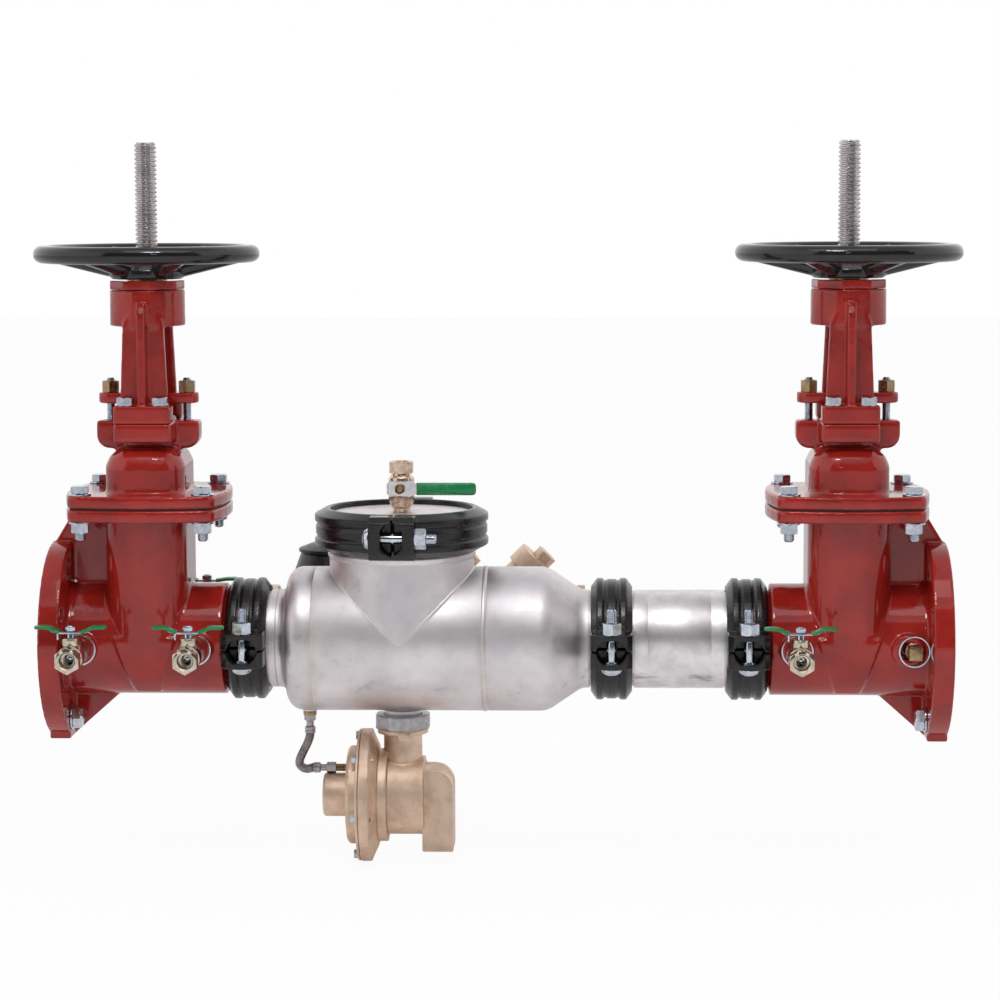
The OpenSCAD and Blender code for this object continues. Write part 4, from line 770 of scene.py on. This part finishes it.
def formed_run(neck, full, marked):
    """Half section of the check body from inlet to outlet as (radius, x); marked adds grooves and seams."""
    fillet, shoulder, swell = 8.7, 18.3, 275.7
    neck_line, end_line = 264.6, 626.8
    knuckle, foot, cone, cone_turn = 30.0, 20.0, 569.0, 34
    lean = math.radians(cone_turn)
    drop = full - neck - (knuckle + foot) * (1 - math.cos(lean))
    cone_end = cone + (knuckle + foot) * math.sin(lean) + drop / math.tan(lean)
    run = [(neck, BODY_X0)]
    if marked:
        run += groove(BODY_X0 + GROOVE_AT, neck) + score(neck_line, neck, 0.8, 0.7)
    run += [(neck + fillet * (1 - math.cos(a)), swell - fillet * (1 - math.sin(a)))
            for a in sweep(0, 90, 12)]
    run += [(full - shoulder * (1 - math.sin(a)), swell + shoulder * (1 - math.cos(a)))
            for a in sweep(3, 90, 20)]
    if marked:
        run += score(SEAMS[0], full, 0.9, 0.45) + score(SEAMS[1] + 3.4, full, 0.8, 0.4)
    run += [(full - knuckle * (1 - math.cos(a)), cone + knuckle * math.sin(a))
            for a in sweep(0, cone_turn, 12)]
    run += [(neck + foot * (1 - math.cos(a)), cone_end - foot * math.sin(a))
            for a in sweep(cone_turn, 0, 10)]
    if marked:
        run += score(end_line, neck, 0.6, 0.35) + groove(BODY_X1 - GROOVE_AT - GROOVE_W, neck)
    return run + [(neck, BODY_X1)]


def tube(outer, inner, around):
    """Hollow turned shape from its outer and inner lines, both listed from the same end."""
    return turned(outer + inner[::-1], around)


def check_body():
    """Formed body with its grooved branch, the socket of the relief valve and the hose boss."""
    shell = tube(formed_run(PIPE_R, BODY_R, True),
                 formed_run(PIPE_R - BODY_WALL, BODY_R - BODY_WALL, False), 192)
    swell_at, groove_at = 96, 103.8
    branch = [(BODY_R, 0), (BODY_R, swell_at), (BODY_R + 1.0, 97.6), (BODY_R + 1.8, 99.6),
              (BODY_R + 1.8, 102), (BODY_R + 0.8, groove_at)]
    branch += groove(groove_at, BODY_R)[1:] + [(BODY_R - 0.5, BRANCH_END)]
    socket_bore, socket_r, socket_end = 17.5, 21.7, -103
    socket = rounded([(socket_bore, socket_end), (socket_r, socket_end), (socket_r, -84), (25, -80),
                      (socket_bore, -80)], 0.8, 3)
    boss_bore, boss_r, boss_end = 4, 8.5, -86
    boss = rounded([(boss_bore, boss_end), (boss_r, boss_end), (boss_r, -80), (10, -78),
                    (boss_bore, -78)], 0.6, 3)
    inner = BODY_R - BODY_WALL
    return merged(moved(shell, along="X"),
                  moved(tube(branch, [(inner, 0), (inner, BRANCH_END)], 192), (TEE_X, 0, 0)),
                  moved(turned(socket, 64), (TEE_X, 0, 0)), moved(turned(boss, 48), (HOSE_X, 0, 0)))


def spool():
    """Pipe spool, grooved at both ends, its edges broken and two fine lines left by the rolls."""
    edge = 0.6
    outer = [(PIPE_R - edge, SPOOL_X0), (PIPE_R, SPOOL_X0 + edge)]
    outer += groove(SPOOL_X0 + GROOVE_AT, PIPE_R) + score(694.6, PIPE_R, 0.5, 0.2)
    outer += score(767.2, PIPE_R, 0.5, 0.2) + groove(SPOOL_X1 - GROOVE_AT - GROOVE_W, PIPE_R)
    outer += [(PIPE_R, SPOOL_X1 - edge), (PIPE_R - edge, SPOOL_X1)]
    inner = PIPE_R - PIPE_WALL
    return moved(tube(outer, [(inner, SPOOL_X0), (inner, SPOOL_X1)], 160), along="X")


def cover_disc():
    """Stepped disc with a turned top, tapped in the middle."""
    tapped_r, lip_r, step_r = 10.5, 74.15, 81.45
    low, under, step, top = 131.6, 138.6, 147.5, 148.8
    outline = rounded([(tapped_r, under), (lip_r, under), (lip_r, low), (BODY_R, low), (BODY_R, step),
                       (step_r, step), (step_r, top), (tapped_r, top)], 0.5, 3)
    return moved(turned(outline, 160), (TEE_X, 0, 0))


piece("check_body_shell", check_body(), "stainless", "assembly", ["check_body"], 28)
piece("spool_shell", spool(), "stainless", "assembly", ["spool_pipe"], 28, SPOOL_FINISH)
piece("cover_disc", cover_disc(), "stainless", "assembly", ["cover_plate"], 28)


def bead(points, pitch, tall, ripple, seed):
    """Weld bead along a run of (point, outward, half width), with its stacked ripples."""
    chance = random.Random(seed)
    stations = []
    length = 0.0
    for i, (p, out, size) in enumerate(points):
        before, after = points[max(i - 1, 0)][0], points[min(i + 1, len(points) - 1)][0]
        run = (after - before).normalized()
        side = run.cross(out).normalized()
        if i:
            length += (p - points[i - 1][0]).length
        wave = ripple * math.cos(2 * math.pi * length / pitch)
        size *= 1 + wave + chance.uniform(-ripple, ripple) * 0.6
        stations.append((p, side, out, size, size * tall))
    return loft(stations, 12)


def seam_weld(x, size, seed):
    """Bead right round the body."""
    count = 720
    points = []
    for a in sweep(0, 360, count):
        out = Vector((0, math.cos(a), math.sin(a)))
        points.append((Vector((x, 0, 0)) + out * BODY_R, out, size))
    return bead(points, 2.3, 0.34, 0.05, seed)


def saddle_weld():
    """Ground fillet where the branch meets the body, heavier on the outlet side."""
    count = 900
    points = []
    for a in sweep(0, 360, count):
        x, y = BODY_R * math.cos(a), BODY_R * math.sin(a)
        out = Vector((math.cos(a), math.sin(a) * 1.6, 0.75)).normalized()
        side = 0.5 + 0.5 * math.tanh(4 * math.cos(a))
        foot = min(1.0, abs(math.cos(a)) * 3)
        size = (1.1 + 1.5 * side) * (0.55 + 0.45 * foot)
        points.append((Vector((TEE_X + x, y, math.sqrt(max(BODY_R ** 2 - y * y, 0.0)))), out, size))
    return bead(points, 2.6, 0.6, 0.04, 7)


piece("body_welds", merged(seam_weld(SEAMS[1], 2.2, 4), saddle_weld()), "stainless", "assembly", angle=80)


# Relief valve

casting("relief_body_casting", "relief_body", "cast_bronze", "assembly", 1.0, 2, 0.35)
casting("relief_cover_casting", "relief_cover", "cast_bronze", "assembly", 0.9, 2, 0.35)
casting("relief_union", "relief_union_nut", "stainless", "assembly", 0.7, 2, 0.5, UNION_FINISH)


def relief_screws():
    """Hexagon screws through the rim of the relief cover."""
    count, first, reach = 6, 42.3, 69.8
    head_at, seat, tail = 351.5, 356.9, 371
    shapes = []
    for k in range(count):
        screw = merged(hexagon(10, head_at, seat, crowns=(True, False)), rod(3, 356, tail))
        shapes.append(spun(moved(screw, (0, 0, reach), "X"), (0, 0, RELIEF_Z), "X", first + 360 * k / count))
    return merged(*shapes)


piece("relief_cover_screws", relief_screws(), "zinc_plate", "assembly", ["relief_screws"])


# Sensing hose

HOSE_ROUTE = [(299.2, -106.3), (299.2, -112.9), (298.3, -118), (295.3, -126), (291, -134.5), (287.6, -142),
              (286.3, -147.5), (287.3, -151.2), (290.5, -154.4), (295, -155.6), (299.5, -154.9),
              (302.3, -153.9), (309.2, -153.9)]


def hose():
    """Braided tube: wire bands run both ways round it and pass over and under each other."""
    mean_r, weave_depth, bands, lay = 4.95, 0.26, 16, 2.4
    path = smooth_route(HOSE_ROUTE, 16)
    around = 64
    bm = bmesh.new()
    rings = []
    length = 0.0
    for i, p in enumerate(path):
        if i:
            length += (p - path[i - 1]).length
        run = (path[min(i + 1, len(path) - 1)] - path[max(i - 1, 0)]).normalized()
        up = Vector((-run.y, 0, run.x))
        ring = []
        for k in range(around):
            angle = 2 * math.pi * k / around
            u, v = bands * k / around, length / lay
            r = mean_r + weave_depth * math.sin(math.pi * (u + v)) * math.sin(math.pi * (u - v))
            ring.append(bm.verts.new(Vector((p.x, 0, p.y)) + up * (r * math.sin(angle))
                                     + Vector((0, r * math.cos(angle), 0))))
        rings.append(ring)
    for one, two in zip(rings, rings[1:]):
        for k in range(around):
            n = (k + 1) % around
            bm.faces.new((one[k], one[n], two[n], two[k]))
    bm.faces.new(reversed(rings[0]))
    bm.faces.new(rings[-1])
    bmesh.ops.recalc_face_normals(bm, faces=bm.faces)
    return bm


def ferrule(mouth, back):
    """Crimped sleeve along Z, hollow from its mouth up to a closed back."""
    outer, crimp, bore, inside = 6.3, 5.9, 5.3, back - 1.5
    outline = [(0, back), (5.6, back), (outer, back - 1), (outer, mouth + 3.4), (crimp, mouth + 2.8),
               (outer, mouth + 2.2), (outer, mouth), (bore, mouth), (bore, inside), (0, inside)]
    return turned(outline, 48)


def hose_swivels():
    """Sleeves and swivel nuts at both ends of the hose."""
    upper = merged(hexagon(13, -97.5, -90.5), rod(4.4, -105, -97), ferrule(-112, -104.5))
    flat_down = Matrix.Rotation(math.radians(30), 4, "Z")
    swivel = hexagon(11.5, 318.5, 329.5)
    bmesh.ops.transform(swivel, matrix=flat_down, verts=swivel.verts)
    lower = merged(ferrule(303.5, 311), rod(4, 310, 319.5), swivel)
    return merged(moved(upper, (HOSE_X, 0, 0)), moved(lower, (0, 0, HOSE_END_Z), "X"))


def hose_nipples():
    """Brass bushing under the body and the threaded nipple in the relief cover."""
    nipple = merged(threaded(4.6, 1.2, 0.5, 329.5, 344, around=24), rod(2.8, 343, 348))
    return merged(moved(rod(7.9, -91, -86, 0.6), (HOSE_X, 0, 0)), moved(nipple, (0, 0, HOSE_END_Z), "X"))


piece("braided_hose", hose(), "hose_braid", "assembly", ["sensing_hose"], angle=80)
piece("hose_swivels", hose_swivels(), "zinc_plate", "assembly", ["hose_fittings"], material=UNION_FINISH)
piece("hose_nipples", hose_nipples(), "machined_brass", "assembly")


# Test cocks

def cock(length, root_r, root_len):
    """Test cock along Z: male end, two barrels, neck and a hexagon end with a threaded socket."""
    bore, body_r, step_r = 6, 13.6, 14.8
    step, neck_at, neck_end, hexagon_at = length - 48, length - 19, length - 12.5, length - 13.5
    profile = [(bore, 0), (root_r, 0), (root_r, root_len), (root_r + 1, root_len), (body_r, root_len + 3),
               (body_r, step), (step_r, step + 0.4), (step_r, neck_at), (11.8, neck_at + 3), (11.6, neck_end),
               (bore, neck_end)]
    return merged(turned(rounded(profile, 0.5, 2), 64), hexagon(27, hexagon_at, length, 8.9, (False, True)))


def test_cock(x):
    """Cock in a test boss, with the raised housing of its stem."""
    barrel = moved(cock(COCK_FACE - BOSS_ROOT, COCK_THREAD_R, 22), (0, -BOSS_ROOT, COCK_Z), "-Y")
    low, collar_at, top = 2, 14, 23
    housing = rounded([(0, low), (8, low), (8, collar_at - 1.5), (10, collar_at), (10, top - 0.4), (5, top),
                       (0, top)], 0.8, 3)
    return moved(merged(barrel, moved(turned(housing, 48), (0, COCK_STEM_Y, COCK_Z))), (x, 0, 0))


def cover_cock():
    """Cock on top of the cover, with its stem to the front."""
    root, top, front = 139.6, 208, 22
    housing = rounded([(0, 0), (9, 0), (9, front - 1.5), (7.5, front), (0, front)], 0.8, 3)
    return merged(moved(cock(top - root, COCK_THREAD_R, 14), (TEE_X, 0, root)),
                  moved(turned(housing, 48), (TEE_X, 0, COVER_COCK_Z), "-Y"))


piece("test_cock_castings", merged(*(test_cock(x) for x in COCKS.values())), "nickel_plate", "assembly",
      ["test_cock_bodies"])
piece("cover_cock_casting", cover_cock(), "cast_bronze", "assembly", ["cover_cock_body"],
      material=plated("machined_bronze", rgb(0.9, 0.7, 0.56), rgb(0.6, 0.44, 0.33), 0.16, 0.3, 0.03))


def ribbon(line, steps, width, thick, power, taper, mirror=1):
    """Strip along a line of (x, z); taper gives its width and thickness factors from 0 to 1 along it."""
    path = smooth_route(line, steps)
    stations = []
    for i, p in enumerate(path):
        run = (path[min(i + 1, len(path) - 1)] - path[max(i - 1, 0)]).normalized()
        up = Vector((-run.y * mirror, 0, run.x))
        wide, high = taper(i / (len(path) - 1))
        stations.append(((p.x * mirror, 0, p.y), (0, 1, 0), up, width * wide, thick * high))
    return loft(stations, 32, power)


def tee_plate(half, bend, thick):
    """Steel strip of a tee handle: flat in the middle, cranked up on both sides, with a stop tab."""
    line = [(-half * 0.92, bend), (-half * 0.62, bend), (-half * 0.36, 0), (half * 0.36, 0),
            (half * 0.62, bend), (half * 0.92, bend)]
    line = [(x, z + thick / 2) for x, z in line]
    strip = ribbon(line, 6, half * 0.17, thick / 2, 8.0, lambda t: (1, 1))
    tab = [((-half * 0.34, 0, z), (1, 0, 0), (0, 1, 0), 1.1, half * 0.13) for z in (0.4, -6, -7)]
    return merged(strip, loft(tab, 24, 8.0))


def dipped(t):
    """Width and thickness of a dipped sleeve along its length: a short lip, then a round tip."""
    tip = math.sqrt(max(1 - max(t - 0.88, 0) ** 2 / 0.12 ** 2, 0.02))
    root = min(1.0, 0.82 + t * 3)
    return tip * root, (0.4 + 0.6 * tip) * root


def tee_sleeves(half, bend, thick):
    """Dipped vinyl on the two wings of a tee handle, over the crank and round at the tips."""
    line = [(half * 0.3, 0.1), (half * 0.42, bend * 0.25), (half * 0.6, bend * 0.95),
            (half * 0.8, bend + 0.3), (half, bend + 0.2)]
    line = [(x, z + thick / 2) for x, z in line]
    return merged(*(ribbon(line, 8, half * 0.2, thick / 2 + 0.9, 3.0, dipped, s) for s in (-1, 1)))


def ball_and_stem(ball_r, stem_r, rise, nut):
    """Ball with its waterway hidden in the body, stem, thread above the handle and its nut."""
    arc = [(ball_r * math.sin(a), -ball_r * math.cos(a)) for a in sweep(60, 158, 14)]
    ball = turned([(ball_r * 0.6, arc[0][1])] + arc + [(ball_r * 0.3, arc[-1][1])], 48)
    return merged(ball, rod(stem_r, 0, rise + 0.3), hexagon(nut, rise + 2.7, rise + 7.2, stem_r - 0.4),
                  threaded(stem_r - 0.3, 1.0, 0.45, rise, rise + 8.6, around=20, chamfer=(0, 0.7)))


def tee_handle(name, node, body, at, half, stem_r, ball_r, rise, bend, along="Z"):
    """Tee handle on its ball and stem; along is the way that the stem points."""
    thick, nut = 2.6, 11
    ball = ball_and_stem(ball_r, stem_r, rise, nut)
    piece(name + "_stem", moved(ball, at, along), "zinc_plate", body, [node])
    seat = Vector(at) + ALONG[along] @ Vector((0, 0, rise))
    piece(name + "_plate", moved(tee_plate(half, bend, thick), seat, along), "zinc_plate", body)
    piece(name + "_sleeves", moved(tee_sleeves(half, bend, thick), seat, along), "green_vinyl", body)


for number, x in COCKS.items():
    tee_handle("cock_%d_tee" % number, "cock_handle_%d" % number, "cock_%d_handle" % number,
               (x, COCK_STEM_Y, COCK_Z), half=41, stem_r=4.5, ball_r=9.6, rise=28, bend=5)
for end, x, way in (("in", STEM_X["inlet"] + BYPASS_IN, "Z"), ("out", STEM_X["outlet"] - BYPASS_IN, "-Z")):
    tee_handle("bypass_%s_tee" % end, "bypass_handle_" + end, "bypass_%s_handle" % end,
               (x, BYPASS_Y, BYPASS_Z), half=37, stem_r=5, ball_r=14, rise=31, bend=1.5, along=way)


def cover_lever():
    """Lever of the cover cock: chrome strap that wraps the barrel, brass stem nut and a vinyl grip."""
    at = (TEE_X, 0, COVER_COCK_Z)
    body = "cover_lever"
    strap_back, strap_front = 24, 26.5
    stem_shape = merged(turned([(0, -2), (9.2, -2), (9.2, 2), (0, 2)], 48), rod(4.5, 0, strap_back + 0.2))
    piece("cover_lever_stem", moved(stem_shape, at, "-Y"), "zinc_plate", body, ["cover_cock_lever"])
    nut = merged(hexagon(11, strap_front + 0.1, strap_front + 4.7, 4.1),
                 threaded(4.2, 1.0, 0.45, strap_back, strap_front + 5.4, around=20, chamfer=(0, 0.7)))
    piece("cover_lever_nut", moved(nut, at, "-Y"), "machined_brass", body)
    strap = rounded([(-14, -7), (-11, -9.4), (-5, -8), (6, -8.8), (12, -9.4), (15, -7), (20, -6.4), (34, -5),
                     (80, -5), (80, 5), (34, 5), (20, 6.4), (15, 7), (12, 9.4), (6, 8.8), (-5, 8), (-11, 9.4),
                     (-14, 7)], 1.6, 3)
    ear = loft([((-14.2, y, 0), (0, 0, 1), (1, 0, 0), 6.4, 1.1) for y in (-25.4, -21, -17.4, -16.8)], 24, 6.0)
    straps = merged(moved(plate(strap, strap_back, strap_front, 0.35), at, "-Y"), moved(ear, at))
    piece("cover_lever_strap", straps, "zinc_plate", body, material=CHROME)
    start, end, half, lip, tip = 19, 88, 7.2, 1.2, 5
    grip = rounded([(start, -half, lip), (end, -half, tip), (end, half, tip), (start, half, lip)], 1, 6)
    sleeve = plate(grip, strap_back - 1, strap_front + 0.9, 1.1)
    piece("cover_lever_grip", moved(sleeve, at, "-Y"), "green_vinyl", body, angle=50)


cover_lever()


def boss_rim(x):
    """Narrow ring of bright metal round the face of a test boss: a painted highlight along the boss edge."""
    inner, outer, back, front = 16.3, 18.2, BOSS_FACE + 0.05, BOSS_FACE + 0.5
    profile = rounded([(inner, back), (outer, back), (outer, front), (inner, front)], 0.15, 2)
    return moved(turned(profile, 64), (x, 0, COCK_Z), "-Y")


def square_plug():
    """Pipe plug with a square head that narrows a little towards its front."""
    head = [((0, 0, z), (1, 0, 0), (0, 1, 0), half, half)
            for z, half in ((16, 7.6), (18, 8.3), (31, 8.1), (32.6, 7.6), (33, 6.6))]
    plug = merged(threaded(COCK_THREAD_R, 1.8, 0.8, 0, 17), loft(head, 32, 9.0))
    return moved(plug, (PLUG_X, -BOSS_ROOT, COCK_Z), "-Y")


# Bright rings at the test bosses are painted highlights along the boss edges
piece("boss_edge_highlights", merged(*(boss_rim(x) for x in (*COCKS.values(), PLUG_X))), "zinc_plate", "assembly")
piece("square_plug", square_plug(), "machined_brass", "assembly", ["boss_plug"])


# Bypass

casting("bypass_pipe_castings", "bypass_pipes", "cast_bronze", "assembly", 1.2, 3, 0.4)
casting("bypass_valve_castings", "bypass_valve_bodies", "cast_bronze", "assembly", 0.9, 2, 0.4)
casting("bypass_backflow_casting", "bypass_backflow", "cast_bronze", "assembly", 0.9, 2, 0.35)
casting("meter_register_lid", "meter_lid", "black_plastic", "register_lid", 0.8, 2, 0.5)


def meter_body():
    """Bronze meter body: round case on its union spuds."""
    low, top, case_r, rim_r = -10, 40, 38, 40.5
    case = rounded([(0, low), (34, low), (case_r, low + 6), (case_r, top - 10), (rim_r, top - 8),
                    (rim_r, top - 2), (37, top), (0, top)], 1.5, 3)
    spud_in, spud_out, flats = 68, 84, 38
    line = merged(hexagon(flats, -spud_out, -spud_in), hexagon(flats, spud_in, spud_out),
                  rod(15, -spud_in - 1, spud_in + 1))
    return merged(turned(case, 96), moved(line, (0, 0, BYPASS_Z), "X"))


def meter_register():
    """Black register housing over the case: a cone that narrows upward, with the lugs of the lid."""
    low, top, bore = 40, 82, 37
    cone = tube([(55, low), (55, low + 3), (41.6, top - 1.5), (40.6, top)], [(bore, low), (bore, top)], 96)
    lug = rounded([(36, 70), (51, 70), (51.5, 86), (48, 88.5), (44.5, 86), (40, 81.5), (36, 81.5)], 1, 3)
    half_lug, apart = 2, 11.3
    lugs = (moved(plate(lug, -half_lug, half_lug), (0, s * apart, 0), "-Y") for s in (-1, 1))
    return merged(cone, *lugs)


piece("meter_case", moved(meter_body(), METER_AT), "cast_bronze", "assembly", ["bypass_meter"])
piece("meter_register", moved(meter_register(), METER_AT), "black_plastic", "assembly")


# Springs

def pressed_spring(name, node, fixed_end, stroke):
    """Copy of a spring with its finish; a squash share is worked out from the fixed end at an X and the
    stroke, and not applied.
    """
    obj = bpy.data.objects.new(name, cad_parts[node].data.copy())
    bpy.context.scene.collection.objects.link(obj)
    shade(obj.data, 50)
    dress(obj, "zinc_plate", "assembly", [node])
    ends = [corner[0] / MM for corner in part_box(node)]
    length = max(abs(end - fixed_end) for end in ends)
    1 - stroke / length
    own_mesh(obj)


pressed_spring("first_check_coil", "check_spring_1", fixed_end=377.5, stroke=24)
pressed_spring("second_check_coil", "check_spring_2", fixed_end=561.5, stroke=24)
pressed_spring("relief_coil", "relief_spring", fixed_end=322.0, stroke=6)


# Inner pieces keep their solids

KEPT = {
    "inlet_gate": "gate_rubber", "outlet_gate": "gate_rubber", "inlet_stem_nut": "machined_brass",
    "outlet_stem_nut": "machined_brass", "bonnet_gaskets": "gate_rubber", "stem_packing": "gate_rubber",
    "coupling_gaskets": "gate_rubber", "check_seats": "stainless", "check_disc_1": "gate_rubber",
    "check_disc_2": "gate_rubber", "relief_diaphragm": "gate_rubber", "relief_plunger": "machined_brass",
}
for node, slot in KEPT.items():
    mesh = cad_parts[node].data
    mesh.materials.clear()
    mesh.materials.append(MATERIALS[slot])


# Studio

def seen_ray(tree, mirrored):
    """1 where the camera looks straight at a surface, mirrored where metal or glass shows it."""
    straight = tree.node("ShaderNodeLightPath", output="Is Camera Ray")
    glossy = tree.node("ShaderNodeLightPath", output="Is Glossy Ray")
    through = tree.node("ShaderNodeLightPath", output="Is Transmission Ray")
    return straight.maths("MAXIMUM", straight, (glossy + through) * mirrored)


def studio_floor():
    """White paper floor: nearly pure white to the camera, and it still takes the object's shadow."""
    size, level = 14.0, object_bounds()[0][2] - 0.0005
    mesh = bpy.data.meshes.new("paper_floor")
    mesh.from_pydata([(-size, -size, level), (size, -size, level), (size, size, level), (-size, size, level)],
                     [], [(0, 1, 2, 3)])
    floor = bpy.data.objects.new("paper_floor", mesh)
    bpy.context.scene.collection.objects.link(floor)
    f = Finish("paper", Roughness=0.9)
    f.colour(rgb(0.94, 0.94, 0.94))
    glow = f.node("ShaderNodeEmission", sockets={"Strength": 1.0})
    both = f.node("ShaderNodeMixShader", sockets={
        0: seen_ray(f, 0.12) * 0.94, 1: Signal(f, f.shader.outputs[0]), 2: glow})
    f.feed(f.nodes["Material Output"].inputs["Surface"], both)
    mesh.materials.append(f.material)


def studio_world():
    """White tent round the object, dark only where the camera stands; plain white behind the object."""
    world = bpy.data.worlds.new("studio")
    world.use_nodes = True
    world.node_tree.nodes.clear()
    bpy.context.scene.world = world
    w = Nodes(world.node_tree)
    where = w.node("ShaderNodeTexCoord", output="Generated")
    x, y, z = (w.along(where, axis) for axis in "XYZ")
    turn = x.maths("ARCTAN2", x, 0.0 - y)
    crew = turn.ramp(-0.74, -0.66) * turn.ramp(1.18, 1.1) * z.ramp(0.72, 0.66)
    panels = (1.0 - crew) * z.ramp(0.9, 0.5)
    level = (1.0 - crew * 0.88) * z.ramp(0.5, 0.9, 1.0, 0.65)
    tent = w.node("ShaderNodeBackground", sockets={"Color": rgb(0.97, 0.97, 1.0), "Strength": level * 0.9})
    white = w.node("ShaderNodeBackground", sockets={"Color": rgb(1, 1, 1), "Strength": 1.0})
    both = w.node("ShaderNodeMixShader", sockets={0: seen_ray(w, panels), 1: tent, 2: white})
    out = w.nodes.new("ShaderNodeOutputWorld")
    w.feed(out.inputs["Surface"], both)


def softbox(name, at, size, power, seen=True):
    """Rectangular lamp aimed at the object; one that isn't seen gives light and no reflection."""
    data = bpy.data.lights.new(name, "AREA")
    data.shape, (data.size, data.size_y), data.energy = "RECTANGLE", size, power
    lamp = bpy.data.objects.new(name, data)
    direction = Vector((0.52, 0.0, 0.15)) - Vector(at)
    lamp.matrix_world = Matrix.Translation(at) @ direction.to_track_quat("-Z", "Y").to_matrix().to_4x4()
    lamp.visible_glossy = seen
    bpy.context.scene.collection.objects.link(lamp)


studio_floor()
studio_world()
softbox("overhead_softbox", (0.6, -0.9, 2.2), (1.9, 0.9), 6)
softbox("window_lamp", (0.45, -1.3, 2.05), (0.52, 0.34), 10)
softbox("spark_lamp", (0.75, -2.3, 1.35), (0.08, 0.08), 0.9)
softbox("front_fill", (0.3, -3.6, 1.6), (2.6, 2.0), 27, seen=False)
bpy.context.scene.view_settings.view_transform = "Standard"
